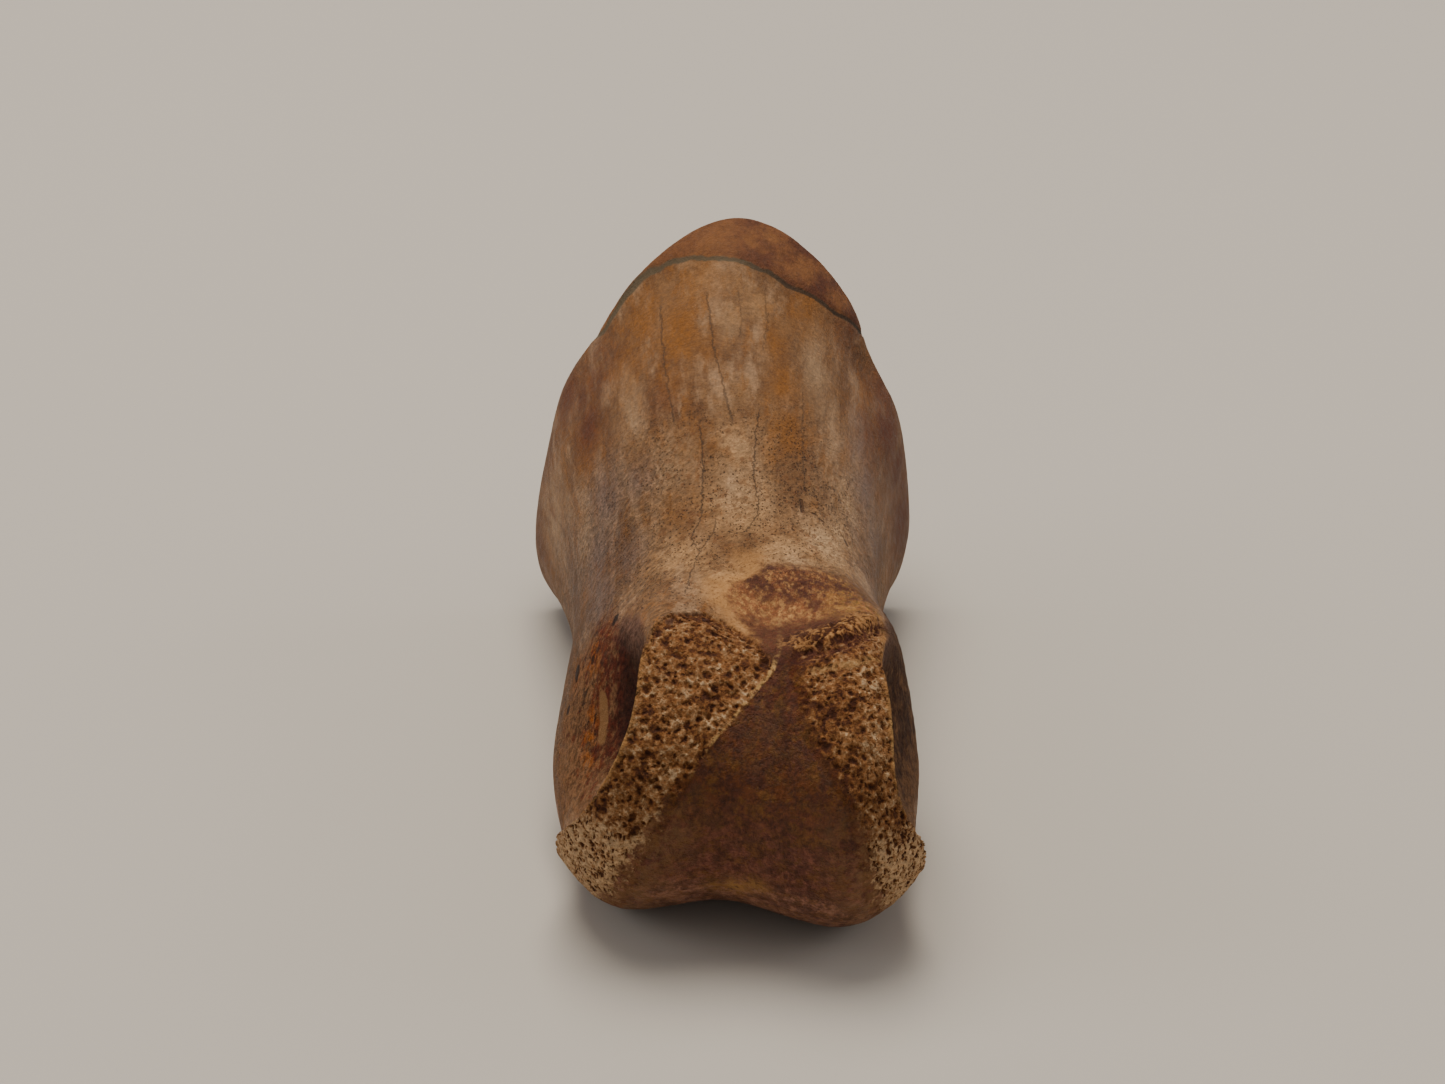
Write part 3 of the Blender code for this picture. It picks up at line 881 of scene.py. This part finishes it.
tone = built_up(
    TAN_DARK,
    (patches(1.0, 0.38, 0.62, 5.0, 0.65, (0.42, 0.10, 0.42)), TAN),
    (patches(1.0, 0.46, 0.66, 5.0, 0.65, (0.6, 0.13, 0.6)), TAN_PALE),
    (times(patches(1.0, 0.50, 0.62, 6.0, 0.7, (0.9, 0.25, 0.9)), 0.7), ORANGE_BROWN),
)
for spot_name, spot_colour, broken_up in STAIN_AND_SHEEN_TONES:
    tone = lay(times(mark(spot_name), patches(*broken_up)), spot_colour, tone)
mottle = fade(clouds(3.0, 6.0, 0.75), 0.3, 0.7, 0.74, 1.22)
tone = shaded(tone, mottle)
tone = shaded(tone, fade(clouds(7.5, 4.0, 0.7), 0.35, 0.65, 0.86, 1.12))
fibre = cloud(finish, stretched(finish, pushed(finish, place, 0.5, 0.8), 3.2, 0.3, 3.2), 1.0, 4.0, 0.6)
fibre_cover = fade(from_middle(finish, place), *FIBROUS_SIDES)
tone = lay(fibre_cover, shaded(tone, fade(fibre, 0.35, 0.65, 0.91, 1.07)), tone)


def specks(per_mm, size, share, stretch=(1.0, 0.6, 1.0)):
    """Small dark specks: one in some of the cells of a net, drawn out along the bone."""
    found = cells(finish, stretched(finish, pushed(finish, place, 2.0, 0.3), *stretch), per_mm)
    dot = fade(found["Distance"], size, size * 0.45)
    return times(dot, fade(parts_of(finish, found["Color"])[0], share, share - 0.05))


near_joint = fade(y, *JOINT_SIDE)
speck_cover = times(near_joint, patches(0.35, 0.32, 0.55))
speck = more_of(specks(4.2, 0.30, 0.5), specks(7.0, 0.40, 0.6))
speck = times(speck, fade(speck_cover, 0.0, 1.0, 0.1, 0.8))
waist_place = pushed(finish, stretched(finish, place, 1.0, 0.7, 1.0), 2.0, 0.5)
waist_pits = times(pits(finish, waist_place, 4.6, -0.05, 0.46), near_joint)
waist_pits = times(waist_pits, patches(0.5, 0.34, 0.54))
tone = lay(times(waist_pits, 0.5), OUTER_PIT, tone)
tone = lay(speck, SPECK, tone)
turning = {"Vector": place, "Angle": LEATHER_TURN}
turned = add_node(finish, "ShaderNodeVectorRotate", turning, rotation_type="Z_AXIS").outputs[0]
leather = cloud(finish, stretched(finish, turned, 4.0, 1.7, 3.0), 1.0, 4.0, 0.65)
leather_cover = times(near_joint, fade(x, *LEATHERY_LEFT, 0.5, 1.0))
tone = lay(leather_cover, shaded(tone, fade(leather, 0.42, 0.58, 0.86, 1.34)), tone)
slit = fade(mark("slit"), *SLIT_WIDTH)
tone = lay(times(slit, 0.9), SLIT, tone)
outer_cover = times(fade(mark("worn"), *OUTSIDE_PATCH), fade(z, *TOP_OF_JOINT))
outer_pits = times(pits(finish, pushed(finish, place, 2.0, 0.5), 2.4, 0.0, 0.50), outer_cover)
tone = lay(times(outer_pits, 0.85), OUTER_PIT, tone)

# Hairline cracks, opened as the bone dried: each runs along the shaft, its place across (x) given at
# places along it (y), then its half width and its darkness.
CRACK = paint(56, 42, 30)
CRACKS = (
    (((6.7, -2.7), (9.4, -3.0), (12.2, -3.3), (15.4, -3.5), (18.2, -3.6)), 0.045, 0.5),
    (((5.9, 0.6), (8.4, 0.15), (10.2, -0.15), (12.2, -0.5), (14.1, -0.65), (17.2, -0.9)), 0.045, 0.55),
    (((-10.4, -1.9), (-7.9, -1.7), (-5.2, -1.25), (-3.5, -1.7), (-1.9, -1.2), (1.2, -1.05), (4.9, -1.15),
      (6.4, -1.3)), 0.04, 0.65),
    (((-5.2, -1.25), (-4.2, -0.8), (-3.2, -0.45), (-1.7, -0.3)), 0.04, 0.6),
    (((-3.9, 0.0), (-3.3, 1.2), (-1.5, 1.95), (-0.2, 1.95), (2.3, 1.7), (4.9, 1.85), (7.6, 2.05)),
     0.04, 0.65),
    (((-1.4, 4.1), (0.5, 4.15), (2.1, 4.55), (5.7, 4.5), (10.5, 4.6)), 0.035, 0.4),
    (((12.8, 1.0), (14.8, 1.1), (17.4, 0.8)), 0.04, 0.35),
    (((12.2, 2.3), (14.8, 2.6), (17.1, 2.45)), 0.04, 0.35),
)
CRACK_SIDE = 6.0
UPPER_SIDE = (11.0, 13.0)
crack_x = uneven(finish, x, place, 2.4, 0.5, 3.0, 0.65)
upper_side = fade(z, *UPPER_SIDE)


def crack_line(points, half_width, darkness):
    """From 0 beside a crack to its darkness in it."""
    start, end = points[0][0], points[-1][0]
    run = add_node(finish, "ShaderNodeMapRange", {"Value": y, 1: start, 2: end})
    chart = add_node(finish, "ShaderNodeFloatCurve", {"Value": run.outputs["Result"]})
    curve = chart.mapping.curves[0]
    for index, (along, across) in enumerate(points):
        spot = ((along - start) / (end - start), 0.5 + 0.5 * across / CRACK_SIDE)
        if index < 2:
            curve.points[index].location = spot
        else:
            curve.points.new(*spot)
    for point in curve.points:
        point.handle_type = "VECTOR"
    chart.mapping.update()
    middle = sum_of(finish, "MULTIPLY_ADD", chart.outputs[0], 2.0 * CRACK_SIDE, -CRACK_SIDE)
    off = sum_of(finish, "ABSOLUTE", less(finish, crack_x, middle))
    ends = times(fade(y, start - 0.1, start + 0.3), fade(y, end + 0.1, end - 0.6))
    line = times(fade(off, half_width * 1.7, half_width * 0.5), ends)
    return times(times(line, darkness), upper_side)


crack = crack_line(*CRACKS[0])
for one in CRACKS[1:]:
    crack = more_of(crack, crack_line(*one))
tone = lay(crack, CRACK, tone)

# The hollow behind the joint: bone soaked red-brown, with ochre grains and dark mottling, yellower and
# greenish on the right, and with a pale border on the left.
HALO = paint(190, 134, 74)
HOLLOW_RED = paint(140, 84, 48)
HOLLOW_OCHRE = paint(190, 138, 82)
HOLLOW_DARK = paint(70, 34, 26)
HOLLOW_GREEN = paint(92, 70, 26)
HOLLOW_APEX = paint(84, 42, 26)
HOLLOW_YELLOW = paint(180, 128, 62)
GRAINS = (1.0, 0.6, 1.0)
HALO_SIDE = (3.4, 1.6)
YELLOW_SIDE = (4.6, 6.4)
GREEN_SIDE = (5.2, 7.2)
HOLLOW_REAR = (-10.8, -8.8)
HOLLOW_FRONT = (-14.0, -15.6)
APEX = (-11.0, -12.8)
REAR_SPOTS = (-10.2, -8.8)

halo = fade(ragged(mark("hollow"), 1.2, 1.6, 5.0, 0.7), -1.4, 0.8)
tone = lay(times(times(halo, fade(x, *HALO_SIDE)), 0.6), HALO, tone)
hollow = fade(ragged(mark("hollow"), 1.6, 2.4, 5.0, 0.7), 0.8, 1.8)
dark_grain = clouds(4.8, 5.0, 0.8, GRAINS)
dark_mottle = fade(ragged(dark_grain, 0.8, 0.9, 3.0, 0.6), 0.91, 1.08)
both_ends = more_of(fade(y, *HOLLOW_REAR, 0.75, 1.0), fade(y, *HOLLOW_FRONT, 0.75, 1.0))
hollow_tone = built_up(
    HOLLOW_RED,
    (patches(3.6, 0.44, 0.62, 5.0, 0.75, GRAINS), HOLLOW_OCHRE),
    (times(patches(3.0, 0.40, 0.56, 5.0, 0.75, GRAINS), fade(x, *YELLOW_SIDE, 0.0, 0.8)), HOLLOW_YELLOW),
    (times(patches(4.2, 0.48, 0.60, 6.0, 0.75, GRAINS), fade(x, *GREEN_SIDE, 0.0, 0.7)), HOLLOW_GREEN),
    (times(dark_mottle, both_ends), HOLLOW_DARK),
    (fade(y, *APEX, 0.0, 0.9), HOLLOW_APEX),
    (times(patches(4.0, 0.47, 0.55, 6.0, 0.75, GRAINS), fade(y, *REAR_SPOTS, 0.0, 0.8)), HOLLOW_APEX),
)
hollow_tone = shaded(hollow_tone, fade(dark_grain, 0.38, 0.60, 0.66, 1.32))
tone = lay(times(hollow, 0.92), hollow_tone, tone)

# Sound joint surface: the dense dark brown bone that carried the cartilage, redder at the top, paler
# towards its lower rim, with one yellow stain there.
JOINT_BROWN = paint(90, 48, 19)
JOINT_DARK = paint(61, 30, 12)
JOINT_WARM = paint(108, 60, 24)
JOINT_GREY = paint(84, 58, 34)
JOINT_LOW = paint(124, 76, 60)
JOINT_RIM = paint(156, 110, 88)
JOINT_TOP = paint(75, 34, 12)
JOINT_OLIVE = paint(104, 68, 27)
JOINT_PURPLE = paint(68, 36, 26)
SMEAR = paint(134, 98, 64)
YELLOW = paint(170, 124, 70)
FRONT_OF_JOINT = (-14.0, -15.4)
UNDER_THE_TOP = (14.4, 13.2)
JOINT_END = (17.8, 17.0)
LOW_JOINT = (11.5, 6.5)
LOWER_RIM = (6.0, 4.0)
UPPER_JOINT = (12.5, 14.8)
SMEARED_BELOW = (11.5, 8.0)

joint = fade(mark("joint"), 0.3, 0.9)
joint_top = ragged(z, 1.2, 1.6, 4.0, 0.6)
joint_back = ragged(y, 1.2, 1.6, 4.0, 0.6)
joint_front = more_of(fade(joint_back, *FRONT_OF_JOINT), fade(joint_top, *UNDER_THE_TOP))
joint_front = times(times(joint, joint_front), fade(joint_top, *JOINT_END))
joint_tone = built_up(
    JOINT_BROWN,
    (times(patches(0.6, 0.42, 0.62, 5.0, 0.65), 0.45), JOINT_WARM),
    (times(patches(1.2, 0.46, 0.64, 5.0, 0.7), 0.6), JOINT_DARK),
    (fade(z, *LOW_JOINT, 0.0, 0.9), JOINT_LOW),
    (fade(z, *LOWER_RIM, 0.0, 0.9), JOINT_RIM),
    (fade(z, *UPPER_JOINT, 0.0, 0.9), JOINT_TOP),
    (times(patches(1.1, 0.46, 0.58, 6.0, 0.75, (1.0, 1.0, 1.3)), 0.65), JOINT_OLIVE),
    (times(patches(0.9, 0.46, 0.56, 6.0, 0.75, (1.3, 1.0, 1.0)), 0.60), JOINT_PURPLE),
    (times(patches(0.8, 0.48, 0.64, 4.0, 0.65), 0.3), JOINT_GREY),
)
joint_grain = fade(clouds(2.8, 6.0, 0.8), 0.34, 0.66, 0.60, 1.40)
smear = times(fade(mark("fullness"), -1.6, 0.0), fade(z, *SMEARED_BELOW))
smear = times(smear, patches(1.3, 0.36, 0.60, 6.0, 0.75))
joint_tone = built_up(
    shaded(joint_tone, joint_grain),
    (times(patches(4.0, 0.58, 0.68, 5.0, 0.7), 0.5), JOINT_WARM),
    (times(smear, 0.7), SMEAR),
    (times(mark("yellow"), patches(3.0, 0.3, 0.55, 5.0, 0.7)), YELLOW),
)
tone = lay(joint_front, joint_tone, tone)

# The ligament pits: nearly black at the bottom, a dark stain deepened with painted shade beside the crest,
# with red-brown walls, a painted mauve sheen on the upper ramp, an orange and tan streaked flank on the
# left, and greyer on the right.
PIT_BLACK_STAIN_AND_SHADE = paint(60, 24, 13)
PIT_RED = paint(104, 46, 26)
PIT_ORANGE = paint(168, 90, 22)
PIT_TAN = paint(162, 116, 72)
PIT_BLOT = paint(36, 20, 14)
PIT_GREY = paint(66, 48, 38)
PIT_BROWN = paint(88, 58, 40)
PIT_MAUVE_SHEEN = paint(118, 84, 66)
FLANK_BROWN = paint(138, 96, 62)
BLACK = paint(26, 18, 16)
UPRIGHT_STREAKS = (2.8, 2.8, 1.0)
OUTER_LEFT = (-6.3, -7.6)
LOW_FLANK = (8.0, 5.5)
RIGHT_SIDE = (3.0, 5.0)
PIT_BOTTOM = (7.2, 5.9)
UPPER_RAMP = (14.0, 15.6)
RAMP_RIGHT_OF = (-6.8, -5.4)
BLOTS_LEFT_OF = (-5.6, -6.6)
BLOTS_ABOVE = (6.5, 8.5)

pit = fade(ragged(mark("pit"), 0.6, 1.6, 5.0, 0.7), 0.95, 1.85)
outward = more_of(fade(x, *OUTER_LEFT), fade(z, *LOW_FLANK))
flank = raised(clouds(1.0, 5.0, 0.7, (1.8, 1.8, 0.9)), outward, 0.14)
core = ragged(from_middle(finish, place), 0.8, 1.6, 4.0, 0.6)
upper_ramp = fade(ragged(z, 1.2, 1.6, 4.0, 0.6), *UPPER_RAMP)
blots = times(patches(1.4, 0.54, 0.60, 6.0, 0.8, (1.6, 1.6, 1.0)), fade(x, *BLOTS_LEFT_OF))
pit_tone = built_up(
    PIT_RED,
    (fade(x, *RIGHT_SIDE), PIT_BROWN),
    (fade(flank, 0.46, 0.62), FLANK_BROWN),
    (times(mark("orange"), patches(1.0, 0.42, 0.56, 5.0, 0.7, UPRIGHT_STREAKS)), PIT_ORANGE),
    # Dark stain with painted shade: the deepest part of the pit, beside the crest, near black.
    (fade(core, *PIT_BOTTOM), PIT_BLACK_STAIN_AND_SHADE),
    # Painted sheen: the upper ramp of the pit lightened to mauve.
    (times(upper_ramp, fade(x, *RAMP_RIGHT_OF)), PIT_MAUVE_SHEEN),
    (times(blots, fade(z, *BLOTS_ABOVE, 0.0, 0.85)), PIT_BLOT),
)
flank_grain = clouds(1.0, 6.0, 0.8, (4.4, 4.4, 2.4))
pit_tone = built_up(
    shaded(pit_tone, fade(flank_grain, 0.38, 0.62, 0.50, 1.62)),
    (near_line(finish, place, mark("tan"), 0.28, 0.46, 0.3), PIT_TAN),
    (fade(x, *RIGHT_SIDE, 0.0, 0.35), PIT_GREY),
)
tone = lay(pit, pit_tone, tone)
black = fade(ragged(mark("black"), 3.0, 0.5, 3.0), 0.6, 0.8)
tone = lay(times(black, 0.85), BLACK, tone)

# The worn patches: spongy bone laid open, pale struts round ochre and dark pores, ashen low down and
# darker where the wear fades out. The colour follows the sponge's height: the pale struts carry a painted
# highlight and the dark pores painted shade, over their own colour. Beside them stand the spongy lump, the
# groove and the broken rims.
STRUT_PALE_AND_HIGHLIGHT = paint(180, 147, 110)
STRUT = paint(148, 108, 70)
PORE_OCHRE = paint(124, 79, 41)
PORE_BROWN = paint(88, 50, 25)
PORE_DARK_AND_SHADE = paint(66, 35, 20)
ASH = paint(208, 170, 126)
BAND = paint(154, 110, 64)
TOP_SPOT = paint(76, 50, 40)
CREST_PALE_AND_HIGHLIGHT = paint(176, 136, 84)
LOW_DOWN = (11.0, 6.5)
INNER_RIGHT_FROM = (2.0, 3.5)
INNER_RIGHT_TO = (7.4, 5.6)
INNER_RIGHT_ABOVE = (8.5, 10.5)
UNDER_TOP_EDGE = (1.7, 0.9)

patch = times(worn_cover(finish, place, mark("worn")), fade(mark("joint"), 0.1, 0.6))
opened = laid_open(finish, place, mark("fullness"))
low_down = fade(z, *LOW_DOWN)


def lower(above, below):
    """A value that changes from one to another towards the low ends of the patches."""
    return fade(low_down, 0.0, 1.0, above, below)


pore = spongy_bone(finish, place, PORES_PER_MM)
pore = lower(pore, fade(pore, 0.0, 0.7))
grain = less(finish, clouds(2.6, 5.0, 0.68), 0.5)
high = raised(raised(0.50, pore, lower(-0.46, -0.60)), grain, lower(2.2, 2.8))
high = raised(high, struts(finish, place, STRUTS_PER_MM), 0.20)
high = raised(high, less(finish, clouds(0.7, 3.0), 0.5), 1.0)
# Under the upper edge of the left patch the sponge is darker: dark pores with painted shade under the ledge.
high = raised(high, upper_edge(finish, place, mark("left_inside"), mark("left_below")), -0.22)
high = sum_of(finish, "ADD", high, lower(0.0, 0.30))
inner_right = times(fade(x, *INNER_RIGHT_FROM), fade(x, *INNER_RIGHT_TO))
high = raised(high, times(inner_right, fade(z, *INNER_RIGHT_ABOVE)), -0.16)
# From painted shade at the bottoms of the pores to a painted highlight on the struts, over their own colour.
sponge = add_node(finish, "ShaderNodeValToRGB", {"Fac": high})
sponge.color_ramp.elements[0].color = PORE_DARK_AND_SHADE
sponge.color_ramp.elements[1].color = STRUT_PALE_AND_HIGHLIGHT
for spot, colour in ((0.25, PORE_BROWN), (0.50, PORE_OCHRE), (0.78, STRUT)):
    sponge.color_ramp.elements.new(spot).color = colour
band_tone = lay(pits(finish, pushed(finish, place, 2.0, 0.4), 3.0, 0.10, 0.52), PORE_BROWN, BAND)
band_tone = lay(times(patches(2.2, 0.48, 0.62, 4.0, 0.65), 0.6), PORE_OCHRE, band_tone)
ashen = lay(times(fade(high, 0.3, 0.9), lower(0.0, 0.5)), ASH, sponge.outputs[0])
patch_tone = lay(times(crest_band(finish, place, mark("crest")), 0.85), band_tone, ashen)
top_spots = times(fade(mark("left_below"), *UNDER_TOP_EDGE), fade(mark("left_below"), -0.1, 0.2))
top_spots = times(top_spots, fade(mark("left_inside"), 0.2, 1.0))
top_spots = times(top_spots, pits(finish, pushed(finish, place, 1.5, 0.6), 1.5, 0.15, 0.6))
patch_tone = lay(times(top_spots, 0.75), TOP_SPOT, patch_tone)
patch_tone = shaded(patch_tone, fade(clouds(4.5, 4.0, 0.7), 0.36, 0.64, 0.76, 1.22))
tone = lay(times(patch, opened), patch_tone, tone)
lump_open = near_line(finish, place, mark("lump"), 0.9, 1.5, 0.6)
lump_tone = lay(times(fade(high, 0.30, 0.55), 0.55), HOLLOW_OCHRE, sponge.outputs[0])
groove = near_line(finish, place, mark("groove"), 0.2, 0.7, 0.9)
ridge = times(border_ridge(finish, place, mark("left_inside")), joint)
rim = times(near_line(finish, place, mark("rim"), 0.10, 0.36, 0.5), 0.4)
tone = built_up(
    tone,
    (times(lump_open, 0.85), lump_tone),
    # Painted shade: the groove darkened in broken patches.
    (times(times(groove, fade(grain, -0.12, 0.10, 1.0, 0.35)), 0.75), HOLLOW_DARK),
    # The border ridge and the rim in the crest's pale: rubbed bone with a painted highlight on the raised
    # edges.
    (times(more_of(ridge, rim), patches(3.6, 0.36, 0.56, 4.0, 0.6)), CREST_PALE_AND_HIGHLIGHT),
)

# The side crests of the joint: sharp edges of sound bone, rubbed pale, with a painted highlight along them.
CREST_ABOVE = (9.0, 13.0)
CREST_BELOW = (15.4, 14.2)
LUMP_SIDE = (0.0, 1.0)
LUMP_BEHIND = (-16.6, -15.6)

off_crest = sum_of(finish, "ABSOLUTE", less(finish, mark("crest"), 0.04))
crest = times(near_line(finish, place, off_crest, 0.02, 0.14, 0.14), fade(mark("joint"), 0.05, 0.4))
crest = times(crest, fade(z, *CREST_ABOVE, 0.0, 0.6))
crest = times(crest, fade(times(fade(x, *LUMP_SIDE), fade(y, *LUMP_BEHIND)), 1.0, 0.0))
crest = times(times(crest, fade(z, *CREST_BELOW)), patches(2.4, 0.3, 0.5, 4.0, 0.6))
# Rubbed pale bone and a painted highlight along the crest.
tone = lay(crest, CREST_PALE_AND_HIGHLIGHT, tone)

# The socket at the back: smooth brown joint bone, pitted in places, with a rubbed rim. Painted shade
# darkens the dips of the whole bone away from the joint.
SOCKET_BROWN = paint(96, 58, 30)
DIP_SHADE = paint(74, 48, 30)
SHADED_DIP = (0.15, 0.9)

socket = fade(mark("socket"), 0.2, 0.8)
socket_pits = pits(finish, pushed(finish, place, 1.4, 0.6), 1.3, -0.1, 0.42)
socket_pits = times(socket_pits, patches(0.3, 0.48, 0.58))
socket_tone = built_up(
    SOCKET_BROWN,
    (patches(0.45, 0.42, 0.60, 5.0, 0.65), TAN_DARK),
    (times(patches(1.4, 0.50, 0.62, 6.0, 0.75), 0.6), JOINT_PURPLE),
    (times(patches(2.2, 0.54, 0.64, 6.0, 0.75), 0.5), TAN_PALE),
    (times(socket_pits, 0.8), JOINT_DARK),
)
socket_tone = shaded(socket_tone, joint_grain)
rubbed = times(fade(mark("socket"), 0.02, 0.25), fade(mark("socket"), 0.95, 0.5))
# Painted shade: darker where a corner stands below the bone around it, broken into patches.
dip_shade = times(fade(mark("dip"), *SHADED_DIP), patches(0.9, 0.30, 0.65, 4.0, 0.6))
tone = built_up(
    tone,
    (socket, socket_tone),
    (times(times(rubbed, patches(1.1, 0.42, 0.58, 5.0, 0.7)), 0.6), TAN_PALE),
    # The painted shade in the dips, kept off the joint.
    (times(times(dip_shade, less(finish, 1.0, joint)), 0.35), DIP_SHADE),
)

# The lip behind the break, orange-brown and darker to the right, glued back on with grey-green filler
# that was pressed into the break and wiped off.
LIP = paint(120, 76, 40)
LIP_DARK = paint(82, 44, 26)
FILLER = paint(76, 66, 47)
FILLER_DARK = paint(44, 34, 22)
LIP_DARK_SIDE = (-1.5, 3.5)
FILLER_DARK_SIDE = (0.0, 4.0)

apart = break_distance(finish, place, mark("break_gap"))
lip_share = times(patches(0.4, 0.36, 0.64, 4.0, 0.6), fade(x, *LIP_DARK_SIDE, 0.35, 1.0))
lip_tone = shaded(lay(lip_share, LIP_DARK, LIP), mottle)
lip_tone = lay(times(socket, 0.55), socket_tone, lip_tone)
tone = lay(fade(apart, 0.0, 0.25), lip_tone, tone)
half_width = filler_width(finish, place)
outer_edge = sum_of(finish, "ADD", half_width, 0.05)
filled = fade(sum_of(finish, "ABSOLUTE", apart), outer_edge, times(half_width, 0.5))
filler_tone = lay(fade(x, *FILLER_DARK_SIDE), FILLER_DARK, FILLER)
tone = lay(times(filled, 0.85), filler_tone, tone)
finish.links.new(tone, skin.inputs["Base Color"])

# Gloss: the sound bone has a low sheen, the worn bone and the pits have none.
gloss = fade(clouds(1.5, 4.0, 0.6), 0.3, 0.7, 0.50, 0.66)
gloss = sum_of(finish, "MULTIPLY_ADD", more_of(patch, pit), 0.35, gloss, clamp=True)
finish.links.new(gloss, skin.inputs["Roughness"])

# Fine relief that is smaller than the mesh, in millimetres: pores, specks, cracks and the bone's grain.
PORE_BUMP = 0.10
LEATHER_ENDS = (-9.5, -7.0)
leather_rise = times(times(leather, leather_cover), fade(y, *LEATHER_ENDS, 0.4, 1.0))
FINE_RELIEF = (
    (times(grain, patch), 0.20),
    (times(flank_grain, pit), 0.50),
    (clouds(5.0, 5.0, 0.65), 0.13),
    (times(fibre, fibre_cover), 0.10),
    (leather_rise, 0.70),
    (speck, -0.07),
    (crack, -0.06),
    (slit, -0.15),
    (times(hollow, dark_grain), 0.22),
)
fine = times(times(times(pore, opened), patch), -PORE_BUMP)
for share, amount in FINE_RELIEF:
    fine = raised(fine, share, amount)
bump = add_node(finish, "ShaderNodeBump", {"Strength": 1.0, "Distance": MM, "Height": fine})
finish.links.new(bump.outputs[0], skin.inputs["Normal"])

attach(bone, "root")
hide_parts(BONE_NODE)
